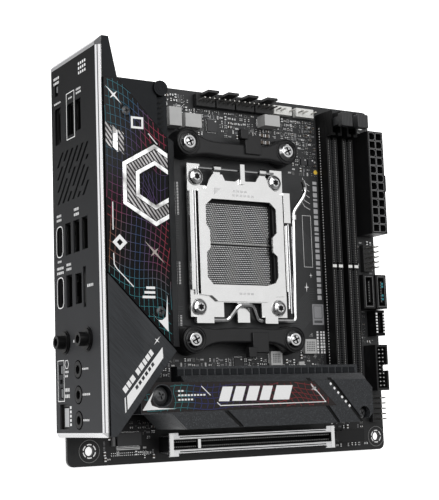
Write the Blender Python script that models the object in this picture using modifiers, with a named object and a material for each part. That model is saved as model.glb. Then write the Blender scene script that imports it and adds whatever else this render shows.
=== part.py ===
"""Mini-ITX computer motherboard, as an assembly of separate parts.

Shapes are drawn in the board's own millimetres: x runs from the rear connector edge towards the front,
y from the expansion slot edge towards the fan header edge, and z = 0 is the board's component face.
The empty board_frame carries every part and puts the origin at the bottom centre of the whole object.
"""
import math

import bmesh
import bpy
from mathutils import Matrix, Vector

MM = 0.001
GAP = 0.3                                   # clearance between neighbouring pieces
OVERLAP = 0.5                               # how far joined shapes run into each other

# ---- driving dimensions, millimetres -------------------------------------------------------------
BOARD = 170.0                               # Mini-ITX board edge
BOARD_THICK = 1.6
BOARD_CORNER = 3.0
MOUNT_HOLES = ((10.16, 6.35), (165.1, 6.35), (165.1, 163.83), (33.02, 163.83))
MOUNT_HOLE_R = 1.98

SOCKET = (86.0, 98.2)                       # centre of the processor socket
SOCKET_SCREWS = [(x, y) for x in (64.2, 107.7) for y in (68.2, 128.25)]
COOLER_SCREWS = [(x, y) for x in (58.9, 112.9) for y in (53.3, 143.3)]
COOLER_MID_Y = 98.3
CPU_WELL = 40.6                             # square pocket that takes the processor
HOUSING_TOP = 3.6
FRAME_Z = (2.7, 3.9)
PLATE_Z = (4.2, 5.4)
LEVER_AXIS = (62.3, 3.3)                    # y, z of the load lever's pivot line
LEVER_R = 1.1
HINGE_AXIS = (132.6, 4.8)                   # y, z of the load plate's hinge wire
HINGE_WIRE_R = 0.6

SHIELD_Y = (14.6, 173.1)                    # flat face of the rear shield
SHIELD_Z = (-4.6, 39.5)
SHIELD_X = -2.7
SHIELD_THICK = 0.8
RIM_OUT = 2.0                               # flare of the shield's rim
RIM_BACK = 1.8
PORT_X = -1.5                               # front of the connectors behind the shield
ANTENNA_TIP = -7.2

COVER_TOP = 40.2
COVER_EDGE_Y = 176.0                        # highest edge of the rear cover
PANEL_Z = (40.5, 41.3)
HEATSINK_X = (22.6, 36.0)
TOWER_TOP = 33.7                            # aluminium body of the drive heatsink
TOWER_PLATE_Z = (34.0, 35.2)

DIMM_X = (140.1, 149.6)
DIMM_W = 6.4
DIMM_Y = (18.0, 165.4)
DIMM_TOP = 8.5
DIMM_KEY_Y = 89.0
DIMM_LATCH_AXIS = (160.0, 3.0)              # y, z of the latch pivots

ATX_X = (159.1, 168.7)
ATX_Y = (105.4, 157.0)
ATX_TOP = 13.0
ATX_PITCH = 4.2

PCIE_X = (42.9, 131.6)
PCIE_Y = 7.6
PCIE_TOP = 11.2
PCIE_GROOVES = ((45.4, 57.0), (58.8, 129.2))
PCIE_LATCH_AXIS = (137.2, 4.0)              # x, z of the expansion latch pivot

HEADER_PITCH = 2.54
PIN_W = 0.64

# the origin of the whole object: middle of its length and width, at its lowest point
OBJECT_ORIGIN = Vector(((ANTENNA_TIP + BOARD) / 2, COVER_EDGE_Y / 2, SHIELD_Z[0] - RIM_OUT))

MATERIALS = {                               # base colour, metallic, roughness
    "board": ((0.020, 0.021, 0.023), 0.0, 0.45),
    "black_plastic": ((0.012, 0.012, 0.013), 0.0, 0.42),
    "grey_plastic": ((0.18, 0.185, 0.19), 0.0, 0.55),
    "white_plastic": ((0.80, 0.80, 0.78), 0.0, 0.50),
    "nickel_steel": ((0.78, 0.78, 0.77), 1.0, 0.22),
    "polished_steel": ((0.82, 0.82, 0.82), 1.0, 0.12),
    "brushed_steel": ((0.55, 0.55, 0.55), 1.0, 0.35),
    "black_coating": ((0.015, 0.015, 0.017), 0.3, 0.35),
    "shield_paint": ((0.035, 0.037, 0.040), 0.2, 0.45),
    "slate_aluminium": ((0.060, 0.068, 0.078), 0.7, 0.42),
    "gloss_panel": ((0.006, 0.006, 0.008), 0.0, 0.08),
    "smoked_plastic": ((0.30, 0.30, 0.30), 0.0, 0.40),
    "silicon": ((0.09, 0.09, 0.10), 0.1, 0.25),
}


# ---- scene helpers -------------------------------------------------------------------------------
def clear_scene():
    for obj in list(bpy.data.objects):
        bpy.data.objects.remove(obj, do_unlink=True)


def new_collection(name):
    collection = bpy.data.collections.new(name)
    bpy.context.scene.collection.children.link(collection)
    return collection


def new_material(name):
    colour, metallic, roughness = MATERIALS[name]
    material = bpy.data.materials.new(name)
    material.use_nodes = True
    material.diffuse_color = (*colour, 1.0)
    shader = material.node_tree.nodes["Principled BSDF"]
    shader.inputs["Base Color"].default_value = (*colour, 1.0)
    shader.inputs["Metallic"].default_value = metallic
    shader.inputs["Roughness"].default_value = roughness
    return material


clear_scene()
PARTS = new_collection("motherboard")
CUTTERS = new_collection("cutters")
board_frame = bpy.data.objects.new("board_frame", None)
board_frame.location = -OBJECT_ORIGIN * MM
PARTS.objects.link(board_frame)
PAINT = {name: new_material(name) for name in MATERIALS}


def place(name, shape, collection, origin=(0, 0, 0)):
    """Make an object of a shape drawn in board millimetres, with its own origin at the given point."""
    bmesh.ops.recalc_face_normals(shape, faces=shape.faces)
    bmesh.ops.transform(shape, matrix=Matrix.Scale(MM, 4) @ Matrix.Translation(-Vector(origin)),
                        verts=shape.verts)
    mesh = bpy.data.meshes.new(name)
    shape.to_mesh(mesh)
    shape.free()
    obj = bpy.data.objects.new(name, mesh)
    obj.location = Vector(origin) * MM
    obj.parent = board_frame
    collection.objects.link(obj)
    return obj


def part(name, shape, material, origin=(0, 0, 0)):
    obj = place(name, shape, PARTS, origin)
    obj.data.materials.append(PAINT[material])
    return obj


def combine(obj, operation, shape):
    """Join a shape to a part, or cut it away, with a Boolean whose tool object stays hidden."""
    tool = place(f"{obj.name}_{operation.lower()}_{len(obj.modifiers)}", shape, CUTTERS)
    tool.hide_render = True
    tool.display_type = "WIRE"
    modifier = obj.modifiers.new(operation.title(), "BOOLEAN")
    modifier.operation = operation
    modifier.solver = "EXACT"
    modifier.object = tool
    return obj


def join(obj, *shapes):
    for shape in shapes:
        combine(obj, "UNION", shape)
    return obj


def cut(obj, *shapes):
    for shape in shapes:
        combine(obj, "DIFFERENCE", shape)
    return obj


def smooth(obj, angle=40):
    obj.data.shade_smooth()
    obj.data.set_sharp_from_angle(angle=math.radians(angle))
    return obj


# ---- shapes, all in board millimetres ------------------------------------------------------------
def block(*boxes):
    """Boxes given as ((x0, x1), (y0, y1), (z0, z1)); several boxes must not touch each other."""
    shape = bmesh.new()
    for spans in boxes:
        centre = Vector([(low + high) / 2 for low, high in spans])
        size = [high - low for low, high in spans]
        bmesh.ops.create_cube(shape, size=1.0,
                              matrix=Matrix.Translation(centre) @ Matrix.Diagonal((*size, 1)))
    return shape


AXES = {
    "X": Matrix(((0, 0, 1, 0), (1, 0, 0, 0), (0, 1, 0, 0), (0, 0, 0, 1))),
    "Y": Matrix(((0, 1, 0, 0), (0, 0, 1, 0), (1, 0, 0, 0), (0, 0, 0, 1))),
    "Z": Matrix.Identity(4),
}


def rod(centre, radius, span, axis="Z", sides=20, far_radius=None):
    """A cylinder or cone along an axis; centre holds the other two coordinates in cyclic order."""
    low, high = span
    shape = bmesh.new()
    middle = Matrix.Translation((centre[0], centre[1], (low + high) / 2))
    bmesh.ops.create_cone(shape, cap_ends=True, segments=sides, radius1=radius,
                          radius2=radius if far_radius is None else far_radius,
                          depth=high - low, matrix=AXES[axis] @ middle)
    return shape


def arc(centre, radius, start, stop, steps):
    """Points on an arc, angles in degrees."""
    angles = [math.radians(start + (stop - start) * i / steps) for i in range(steps + 1)]
    return [(centre[0] + radius * math.cos(a), centre[1] + radius * math.sin(a)) for a in angles]


def circle(centre, radius, sides=20):
    return arc(centre, radius, 0, 360 * (sides - 1) / sides, sides - 1)


def rounded(span_u, span_v, radius, steps=3):
    (u0, u1), (v0, v1) = span_u, span_v
    corners = [((u1 - radius, v1 - radius), 0), ((u0 + radius, v1 - radius), 90),
               ((u0 + radius, v0 + radius), 180), ((u1 - radius, v0 + radius), 270)]
    return [p for centre, turn in corners for p in arc(centre, radius, turn, turn + 90, steps)]


def mesh_of(curve_object):
    """The evaluated mesh of a helper object as a welded bmesh; the helper is removed."""
    bpy.context.view_layer.update()
    mesh = bpy.data.meshes.new_from_object(curve_object.evaluated_get(bpy.context.evaluated_depsgraph_get()))
    shape = bmesh.new()
    shape.from_mesh(mesh)
    bmesh.ops.remove_doubles(shape, verts=shape.verts, dist=0.0001)
    data = curve_object.data
    bpy.data.objects.remove(curve_object, do_unlink=True)
    (bpy.data.curves if isinstance(data, bpy.types.Curve) else bpy.data.meshes).remove(data)
    bpy.data.meshes.remove(mesh)
    return shape


def sheet(loops, span, axis="Z"):
    """A flat outline, with any further loops as its holes, extruded over span along an axis.

    The outline's two coordinates follow the axis in cyclic order: (x, y) for Z, (y, z) for X, (z, x) for Y.
    """
    low, high = span
    curve = bpy.data.curves.new("outline", "CURVE")
    curve.dimensions = "2D"
    curve.fill_mode = "BOTH"
    curve.extrude = (high - low) / 2
    for loop in loops:
        spline = curve.splines.new("POLY")
        spline.points.add(len(loop) - 1)
        spline.use_cyclic_u = True
        for point, (u, v) in zip(spline.points, loop):
            point.co = (u, v, 0, 1)
    helper = bpy.data.objects.new("outline", curve)
    bpy.context.scene.collection.objects.link(helper)
    shape = mesh_of(helper)
    bmesh.ops.transform(shape, matrix=AXES[axis] @ Matrix.Translation((0, 0, (low + high) / 2)),
                        verts=shape.verts)
    return shape


def wire(points, radius):
    """A round wire through the points, with flat ends."""
    curve = bpy.data.curves.new("wire", "CURVE")
    curve.dimensions = "3D"
    curve.bevel_depth = radius
    curve.bevel_resolution = 2
    curve.use_fill_caps = True
    spline = curve.splines.new("POLY")
    spline.points.add(len(points) - 1)
    for point, co in zip(spline.points, points):
        point.co = (*co, 1)
    helper = bpy.data.objects.new("wire", curve)
    bpy.context.scene.collection.objects.link(helper)
    return mesh_of(helper)


def bend(points, radius, steps=3):
    """Round the inner corners of a path by replacing each with a few points of a quadratic curve."""
    path = [Vector(points[0])]
    for before, corner, after in zip(points, points[1:], points[2:]):
        corner = Vector(corner)
        start = corner + (Vector(before) - corner).normalized() * radius
        end = corner + (Vector(after) - corner).normalized() * radius
        for i in range(steps + 1):
            t = i / steps
            path.append(start * (1 - t) ** 2 + corner * 2 * t * (1 - t) + end * t ** 2)
    path.append(Vector(points[-1]))
    return path


def turned(centre, profile, axis="Z", steps=20):
    """A turned piece: the profile lists (radius, height) from the top of the axis down to its foot."""
    mesh = bpy.data.meshes.new("profile")
    shape = bmesh.new()
    points = [shape.verts.new((radius, 0, height)) for radius, height in profile]
    for start, end in zip(points, points[1:]):
        shape.edges.new((start, end))
    shape.to_mesh(mesh)
    shape.free()
    helper = bpy.data.objects.new("profile", mesh)
    bpy.context.scene.collection.objects.link(helper)
    screw = helper.modifiers.new("Turn", "SCREW")
    screw.axis = "Z"
    screw.steps = steps
    screw.render_steps = steps
    screw.use_merge_vertices = True
    screw.merge_threshold = 0.0001
    result = mesh_of(helper)
    bmesh.ops.transform(result, matrix=AXES[axis] @ Matrix.Translation((*centre, 0)), verts=result.verts)
    return result


# ---- board and socket ----------------------------------------------------------------------------
def make_board():
    holes = [circle(p, MOUNT_HOLE_R, 24) for p in MOUNT_HOLES]
    holes += [circle(p, 1.6, 12) for p in SOCKET_SCREWS]
    holes += [circle(p, 2.0, 12) for p in COOLER_SCREWS]
    outline = rounded((0, BOARD), (0, BOARD), BOARD_CORNER, 4)
    part("circuit_board", sheet([outline] + holes, (-BOARD_THICK, 0)), "board")


def make_backplate():
    """Steel plate under the board that the socket and cooler screws thread into."""
    top = -BOARD_THICK - GAP
    outline = rounded((52.0, 119.8), (46.2, 150.4), 6.0)
    window = rounded((72.0, 100.0), (80.0, 116.0), 3.0)
    holes = [circle(p, 1.6, 12) for p in SOCKET_SCREWS] + [circle(p, 1.8, 12) for p in COOLER_SCREWS]
    part("socket_backplate", sheet([outline, window] + holes, (top - 1.6, top)), "black_coating")


def make_socket_housing():
    cx, cy = SOCKET
    body = block(((cx - 22.2, cx + 22.2), (cy - 23.2, cy + 23.2), (GAP, HOUSING_TOP)))
    housing = part("socket_housing", body, "black_plastic")
    half = CPU_WELL / 2
    cut(housing, block(((cx - half, cx + half), (cy - half, cy + half), (1.3, HOUSING_TOP + 2))))


def make_socket_frame():
    cx, cy = SOCKET
    low, high = FRAME_Z
    outline = [(60.0, 63.8), (77.4, 63.8), (77.4, 70.6), (84.8, 70.6), (84.8, 61.4), (91.4, 61.4),
               (91.4, 70.6), (98.2, 70.6), (98.2, 63.8), (112.5, 63.8), (112.5, 134.5), (105.7, 134.5),
               (105.7, 124.6), (66.7, 124.6), (66.7, 134.5), (60.0, 134.5)]
    window = [(cx - 22.7, cy - 23.7), (cx + 22.7, cy - 23.7), (cx + 22.7, cy + 23.7), (cx - 22.7, cy + 23.7)]
    frame = part("socket_frame", sheet([outline, window], (low, high)), "nickel_steel")
    rails = block(((60.0, 61.7), (76.0, 121.5), (high - OVERLAP, 5.8)),
                  ((111.6, 112.5), (76.0, 107.5), (high - OVERLAP, 5.8)),
                  ((111.6, 115.3), (109.0, 123.5), (high - OVERLAP, 5.9)),
                  ((62.0, 71.0), (63.8, 64.4), (high - OVERLAP, 5.2)),
                  ((99.0, 106.0), (63.8, 64.4), (high - OVERLAP, 5.2)))
    lips = block(((62.0, 71.0), (60.9, 64.4), (4.7, 5.6)), ((99.0, 106.0), (60.9, 64.4), (4.7, 5.6)))
    join(frame, rails, lips)
    for p in SOCKET_SCREWS:
        join(frame, rod(p, 3.4, (GAP, low + OVERLAP), sides=16))
    for p in SOCKET_SCREWS:
        cut(frame, rod(p, 1.6, (-1, high + 1), sides=12))


def make_load_plate():
    low, high = PLATE_Z
    hinge_y, hinge_z = HINGE_AXIS
    outline = [(64.7, 74.0), (70.5, 73.5), (73.6, 71.0), (101.6, 71.0), (105.6, 73.5), (111.3, 73.9),
               (111.3, 122.6), (108.0, 123.1), (104.0, 126.0), (102.4, 130.2), (98.0, 130.2), (96.5, 127.8),
               (90.9, 127.6), (89.0, 128.8), (87.2, 128.6), (85.0, 127.2), (79.4, 127.2), (78.0, 130.0),
               (72.8, 130.0), (71.0, 127.4), (68.9, 122.9), (64.7, 122.4)]
    window = [(71.4, 78.6), (100.6, 78.6), (105.6, 80.0), (107.4, 82.8), (107.4, 92.6), (105.0, 94.6),
              (105.0, 101.8), (107.4, 104.0), (107.4, 115.2), (104.0, 118.4), (72.0, 118.4), (68.5, 115.4),
              (68.5, 106.6), (70.4, 103.6), (70.4, 95.6), (68.4, 93.2), (68.4, 82.0)]
    plate = part("socket_load_plate", sheet([outline, window], (low, high)), "nickel_steel",
                 origin=(SOCKET[0], hinge_y, hinge_z))
    tongue = block(((87.3, 89.7), (126.0, 135.4), (5.8, 6.6)))
    bridge = block(((87.5, 89.5), (126.2, 127.2), (high - OVERLAP, 6.2)))
    join(plate, bridge, tongue)
    for x0, x1 in ((73.2, 76.8), (98.4, 102.0)):
        join(plate, block(((x0, x1), (129.4, 131.7), (low, high))),
             rod(HINGE_AXIS, 1.75, (x0, x1), "X", 16))
        cut(plate, rod(HINGE_AXIS, 1.0, (x0 - 1, x1 + 1), "X", 12))


def make_hinge_wire():
    y, z = HINGE_AXIS
    smooth(part("load_plate_hinge_wire", wire([(65.2, y, z), (107.0, y, z)], HINGE_WIRE_R), "polished_steel"))


def make_load_lever():
    y, z = LEVER_AXIS
    path = [(62.4, y, z), (79.6, y, z), (84.2, 69.3, 6.2), (91.4, 69.3, 6.2), (95.9, y, z), (117.3, y, z),
            (117.1, 114.6, 5.6), (123.4, 122.6, 6.2), (124.2, 126.4, 6.6), (122.4, 130.0, 7.2)]
    shape = wire(bend(path, 2.0), LEVER_R)
    smooth(part("socket_load_lever", shape, "polished_steel", origin=(SOCKET[0], y, z)), 60)


def screw_shape(centre, head_r, seat, head_top, shank_r, tip):
    rise = head_top - seat
    return turned(centre, [(0, head_top), (head_r * 0.55, head_top - rise * 0.08),
                           (head_r * 0.9, head_top - rise * 0.38), (head_r, seat + rise * 0.35),
                           (head_r, seat), (shank_r, seat), (shank_r, tip), (0, tip)])


def driver_cross(centre, radius, width, top, depth, turn=25):
    """Two crossed bars that sink a screwdriver recess into a head, turned by some degrees."""
    half = width / 2
    outline = [(-radius, -half), (-half, -half), (-half, -radius), (half, -radius), (half, -half),
               (radius, -half), (radius, half), (half, half), (half, radius), (-half, radius),
               (-half, half), (-radius, half)]
    shape = sheet([outline], (top - depth, top + 1))
    spin = Matrix.Translation((*centre, 0)) @ Matrix.Rotation(math.radians(turn), 4, "Z")
    bmesh.ops.transform(shape, matrix=spin, verts=shape.verts)
    return shape


def driver_star(centre, radius, top, depth):
    """Six-lobed recess."""
    x, y = centre
    tips = [(radius if i % 2 else radius * 0.72, math.radians(30 * i)) for i in range(12)]
    return sheet([[(x + r * math.cos(a), y + r * math.sin(a)) for r, a in tips]], (top - depth, top + 1))


def make_socket_screws():
    for number, p in enumerate(SOCKET_SCREWS, 1):
        shape = screw_shape(p, 3.5, FRAME_Z[1] + GAP, 6.0, 1.25, -3.2)
        screw = smooth(part(f"socket_screw_{number}", shape, "polished_steel", origin=(*p, 0)))
        cut(screw, driver_star(p, 1.6, 6.0, 1.0))


def make_cooler_brackets():
    """Two black clips that the processor cooler fastens to, mirrored about the socket."""
    for name, side in (("cooler_bracket_upper", 1), ("cooler_bracket_lower", -1)):
        def y_span(low, high):
            ends = (COOLER_MID_Y + side * low, COOLER_MID_Y + side * high)
            return min(ends), max(ends)
        centres = [p for p in COOLER_SCREWS if (p[1] - COOLER_MID_Y) * side > 0]
        bracket = part(name, rod(centres[0], 6.8, (GAP, 8.8), far_radius=5.3), "black_coating")
        join(bracket, rod(centres[1], 6.8, (GAP, 8.8), far_radius=5.3),
             block(((60.0, 112.0), y_span(41.0, 46.6), (4.8, 8.6))),
             block(((88.9, 97.6), y_span(41.0, 50.6), (4.2, 9.4))),
             block(((89.6, 96.9), y_span(49.8, 52.6), (7.4, 9.8))))
        for p in centres:
            cut(bracket, rod(p, 1.8, (-1, 9), sides=14), rod(p, 3.9, (7.2, 12), sides=20))


def make_cooler_screws():
    for number, p in enumerate(COOLER_SCREWS, 1):
        shape = screw_shape(p, 3.2, 7.2 + GAP, 10.0, 1.45, -3.2)
        screw = smooth(part(f"cooler_screw_{number}", shape, "polished_steel", origin=(*p, 0)))
        cut(screw, driver_cross(p, 1.4, 0.7, 10.0, 1.3))


# ---- rear connectors -----------------------------------------------------------------------------
USB_A = [((139.2, 152.9), (12.2, 17.8)), ((139.6, 153.0), (20.3, 25.4)), ((88.6, 102.2), (7.8, 13.4)),
         ((88.7, 102.2), (16.1, 22.0)), ((88.9, 102.4), (24.5, 30.0)), ((66.5, 80.1), (8.0, 13.9))]
USB_C = [((88.6, 101.7), (-1.2, 5.3)), ((66.8, 79.8), (-1.2, 5.3))]
HDMI = ((137.7, 153.7), (-0.9, 4.9))
LAN = ((67.1, 79.8), (17.2, 23.3))
LAN_LIGHTS = ((65.3, 81.9), (24.8, 27.4))
BIOS_SLOT = ((159.4, 165.2), (-0.4, 2.6))
FLASH_SLOT = ((38.8, 43.0), (-1.4, 2.9))
LIGHT_SLOT = ((35.0, 36.8), (-0.2, 2.5))
CLEAR_SLOT = ((28.8, 33.3), (0.1, 3.1))
OPTICAL = ((16.1, 26.4), (-0.6, 8.6))
AUDIO_JACKS = [(19.65, 18.4), (29.95, 18.3), (40.3, 18.2)]
ANTENNAS = [(52.1, 6.2), (52.1, 28.0)]
VENT_Y, VENT_Z = (111.4, 133.4), (1.2, 31.6)  # the slanting vent slots' rectangle
VENT_PITCH, VENT_RISE, VENT_WIDTH = 5.05, 0.94, 1.4    # step in z, rise of a slot, width of a slot
VENT_BRIDGES = {1: 128.3, 3: 122.4, 4: 125.8, 5: 116.1, 6: 124.9, 7: 114.6}    # slot: y of its bridge


def rear_rectangles(windows, span):
    return block(*[(span, y, z) for y, z in windows])


def vent_slots():
    """Parallel slanting slots that fill a rectangle; most of them have one bridge."""
    (y0, y1), (z0, z1) = VENT_Y, VENT_Z
    half = VENT_WIDTH / 2 * math.hypot(1, VENT_RISE)
    slots = []
    for i in range(9):
        foot = z0 + (i - 3) * VENT_PITCH
        start = max(y0, y0 + (z0 - foot) / VENT_RISE)
        stop = min(y1, y0 + (z1 - foot) / VENT_RISE)
        ends = [start, stop]
        if i in VENT_BRIDGES:
            ends[1:1] = [VENT_BRIDGES[i] - 0.95, VENT_BRIDGES[i] + 0.95]
        for left, right in zip(ends[::2], ends[1::2]):
            low, high = foot + (left - y0) * VENT_RISE, foot + (right - y0) * VENT_RISE
            slots.append([(left, low - half), (right, high - half), (right, high + half), (left, low + half)])
    return slots


def make_shield():
    """Pressed steel shield: a flat face with a flared rim, one open surface given its thickness."""
    (y0, y1), (z0, z1) = SHIELD_Y, SHIELD_Z
    shape = bmesh.new()
    centre = (SHIELD_X, (y0 + y1) / 2, (z0 + z1) / 2)
    flat = Matrix.Translation(centre) @ AXES["X"] @ Matrix.Diagonal((y1 - y0, z1 - z0, 1, 1))
    bmesh.ops.create_grid(shape, x_segments=1, y_segments=1, size=0.5, matrix=flat)
    rim = bmesh.ops.extrude_edge_only(shape, edges=list(shape.edges))
    outer = [v for v in rim["geom"] if isinstance(v, bmesh.types.BMVert)]
    for vert in outer:
        vert.co.x += RIM_BACK
        vert.co.y += RIM_OUT if vert.co.y > centre[1] else -RIM_OUT
        vert.co.z += RIM_OUT if vert.co.z > centre[2] else -RIM_OUT
    shield = part("io_shield", shape, "shield_paint")
    wall = shield.modifiers.new("Thickness", "SOLIDIFY")
    wall.thickness = SHIELD_THICK * MM
    wall.offset = -1.0 if shield.data.polygons[0].normal.x < 0 else 1.0
    through = (SHIELD_X - 1, SHIELD_X + 2)
    windows = USB_A + USB_C + [HDMI, LAN, LAN_LIGHTS, BIOS_SLOT, FLASH_SLOT, LIGHT_SLOT, CLEAR_SLOT, OPTICAL]
    cut(shield, rear_rectangles(windows, through))
    for slot in vent_slots():
        cut(shield, sheet([slot], through, "X"))
    for p in AUDIO_JACKS:
        cut(shield, rod(p, 3.9, through, "X", 18))
    for p in ANTENNAS:
        cut(shield, rod(p, 2.9, through, "X", 16))


def port_body(name, y_span, top, depth, lip):
    """Metal connector shell that stands on the board; the lip drops in front of the board's edge."""
    shell = part(name, block(((PORT_X, depth), y_span, (GAP, top))), "brushed_steel")
    if lip:
        join(shell, block(((PORT_X, -GAP), (y_span[0] + 0.2, y_span[1] - 0.2), (-1.9, GAP + OVERLAP))))
    return shell


def usb_a_sockets(shell, windows, depth=11.0):
    """Rectangular sockets, each with its contact tongue standing out of the back wall."""
    inside = [((y[0] + 0.5, y[1] - 0.5), (z[0] + 0.35, z[1] - 0.35)) for y, z in windows]
    cut(shell, rear_rectangles(inside, (PORT_X - 1, depth)))
    tongues = [((y[0] + 0.9, y[1] - 0.9), (z[1] - 2.5, z[1] - 0.7)) for y, z in inside]
    join(shell, rear_rectangles(tongues, (PORT_X + 1.0, depth + OVERLAP)))


def usb_c_socket(shell, window):
    (y0, y1), (z0, z1) = window
    middle = (z0 + z1) / 2 + 0.3
    oval = rounded((y0 + 1.8, y1 - 1.8), (middle - 1.5, middle + 1.5), 1.45, 4)
    cut(shell, sheet([oval], (PORT_X - 1, 6.0), "X"))
    join(shell, block(((PORT_X + 0.8, 6.5), (y0 + 3.2, y1 - 3.2), (middle - 0.35, middle + 0.35))))


def make_rear_connectors():
    upper = port_body("hdmi_usb_stack", (137.0, 155.2), 26.9, 15.5, True)
    usb_a_sockets(upper, USB_A[:2])
    (y0, y1), (z0, z1) = HDMI
    bevel = 2.2
    mouth = [(y0 + 0.7 + bevel, 0.6), (y1 - 0.7 - bevel, 0.6), (y1 - 0.7, 0.6 + bevel * 0.8),
             (y1 - 0.7, z1 - 0.4), (y0 + 0.7, z1 - 0.4), (y0 + 0.7, 0.6 + bevel * 0.8)]
    cut(upper, sheet([mouth], (PORT_X - 1, 10.0), "X"))
    join(upper, block(((PORT_X + 1, 10.5), (y0 + 2.5, y1 - 2.5), (2.2, 3.0))))

    middle = port_body("usb_port_stack", (87.4, 103.6), 31.4, 18.0, True)
    usb_a_sockets(middle, USB_A[2:5])
    usb_c_socket(middle, USB_C[0])

    lower = port_body("lan_usb_stack", (64.6, 82.6), 29.4, 21.0, True)
    usb_a_sockets(lower, USB_A[5:])
    usb_c_socket(lower, USB_C[1])
    (y0, y1), (z0, z1) = LAN
    jack = block(((PORT_X - 1, 12.0), (y0 + 0.4, y1 - 0.4), (z0 + 0.3, z1 - 0.2)))
    latch = block(((PORT_X - 1, 9.0), (y0 + 3.4, y1 - 3.4), (z0 - 1.2, z0 + 0.8)))
    cut(lower, jack, latch)


def make_wireless():
    part("wireless_module", block(((0.6, 17.5), (46.8, 57.4), (GAP, 32.0))), "brushed_steel")
    face = SHIELD_X - GAP
    for number, p in enumerate(ANTENNAS, 1):
        profile = [(0, 0.2), (2.4, 0.2), (2.4, face), (4.5, face), (4.5, face - 0.9), (2.9, face - 0.9),
                   (2.9, ANTENNA_TIP), (1.7, ANTENNA_TIP), (1.7, -4.4), (0, -4.4)]
        shape = turned(p, profile, "X", 20)
        smooth(part(f"antenna_jack_{number}", shape, "black_coating", origin=(0, *p)))


def make_audio():
    jacks = part("audio_jack_block", block(((PORT_X, 13.0), (14.8, 45.2), (9.8, 24.0))), "black_plastic")
    join(jacks, block(((10.4, 12.8), (15.0, 45.0), (GAP, 9.8 + OVERLAP))))
    for p in AUDIO_JACKS:
        join(jacks, rod(p, 3.4, (SHIELD_X - 0.2, PORT_X + OVERLAP), "X", 20))
    for p in AUDIO_JACKS:
        cut(jacks, rod(p, 1.8, (SHIELD_X - 1, 11.0), "X", 16))


def make_optical_port():
    """Optical audio socket with a hinged dust shutter that swings inwards from its upper edge."""
    body = part("optical_port", block(((PORT_X, 9.8), (15.6, 26.9), (GAP, 9.4))), "black_plastic")
    cut(body, block(((PORT_X - 1, 7.6), (16.5, 25.2), (0.9, 8.6))))
    flap = block(((-1.4, -0.7), (16.9, 24.8), (1.3, 8.2)))
    part("optical_shutter", flap, "smoked_plastic", origin=(-1.05, 20.85, 7.9))


def make_buttons():
    part("bios_switch", block(((1.4, 6.4), (159.4, 165.0), (GAP, 4.0))), "black_plastic")
    part("rear_switches", block(((1.4, 6.4), (28.0, 44.2), (GAP, 4.2))), "black_plastic")
    for name, (y0, y1), top in (("bios_button", (161.1, 163.8), 2.2), ("flash_button", (39.2, 42.6), 2.5),
                                ("clear_button", (29.2, 32.9), 2.7)):
        part(name, block(((-2.4, 0.7), (y0, y1), (0.4, top))), "grey_plastic",
             origin=(-2.4, (y0 + y1) / 2, 1.4))


# ---- rear cover and heatsink ---------------------------------------------------------------------
DIAGONAL = [(7.2, 158.8), (29.4, 135.6)]    # edge between the art panel and the stepped heatsink
COVER_RIGHT = 29.6
COVER_FOOT = [(31.0, 46.3), (3.1, 12.8)]    # lower edge, along the drive heatsink
COVER_LEFT = 0.4
COVER_SCREWS = [(10.5, 145.0), (24.2, 62.6)]


def make_cover():
    left = COVER_LEFT
    outline = [(left, COVER_EDGE_Y), (3.5, COVER_EDGE_Y), *DIAGONAL, (COVER_RIGHT, 48.0), *COVER_FOOT,
               (left, 12.8)]
    cover = part("io_cover", sheet([outline], (38.8, COVER_TOP)), "slate_aluminium")
    edge = [(31.0, 46.3), (3.1, 12.8), (left, 12.8), (left, 14.6), (2.4, 14.6), (29.2, 46.9)]
    leg = [(15.5, 27.7), (3.1, 12.8), (left, 12.8), (left, 14.2), (2.6, 14.2), (14.6, 28.6)]
    top_wall = [(left, COVER_EDGE_Y), (3.5, COVER_EDGE_Y), (7.2, 158.8), (6.0, 158.6), (2.4, 174.6),
                (left, 174.6)]
    join(cover, sheet([edge], (35.6, 38.8 + OVERLAP)), sheet([leg], (26.0, 35.6 + OVERLAP)),
         sheet([top_wall], (27.0, 38.8 + OVERLAP)))
    for p in COVER_SCREWS:
        cut(cover, rod(p, 1.4, (30, 45), sides=12))


def make_cover_panel():
    left = COVER_LEFT
    outline = [(left, 158.3), (7.2, 158.3), (29.2, 135.4), (29.4, 48.6), (left, 78.0)]
    holes = [circle(p, 2.5, 20) for p in COVER_SCREWS]
    part("io_cover_panel", sheet([outline] + holes, PANEL_Z), "gloss_panel")
    trim = [(left, 77.6), (29.2, 48.2), *COVER_FOOT, (left, 12.8)]
    part("io_cover_trim", sheet([trim], PANEL_Z), "slate_aluminium")


def make_cover_screws():
    for number, p in enumerate(COVER_SCREWS, 1):
        shape = screw_shape(p, 2.2, COVER_TOP + GAP, 41.5, 1.1, 38.7)
        screw = smooth(part(f"cover_screw_{number}", shape, "black_coating", origin=(*p, COVER_TOP)))
        cut(screw, driver_cross(p, 0.95, 0.4, 41.5, 0.7))


def make_vrm_heatsink():
    """Aluminium block over the power stages: a tall chamfered wall and a lower stepped end."""
    x0, x1 = HEATSINK_X
    section = [(3.0, x0), (3.0, x1), (34.6, x1), (COVER_TOP, COVER_RIGHT + 0.5), (38.3, COVER_RIGHT + 0.5),
               (38.3, x0)]
    heatsink = part("vrm_heatsink", sheet([section], (48.4, 135.6), "Y"), "slate_aluminium")
    step = [(20.8, 134.9), (36.6, 134.9), (36.6, 156.2), (31.4, 162.8), (20.8, 162.8)]
    lid = [(9.2, 158.6), (29.4, 137.4), (31.0, 137.4), (31.0, 162.4), (8.2, 162.4)]
    boss = rod((32.6, 159.6), 3.2, (20.0, 31.0))
    join(heatsink, sheet([step], (3.0, 28.5)), sheet([lid], (27.5, 30.0)), boss)


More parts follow.
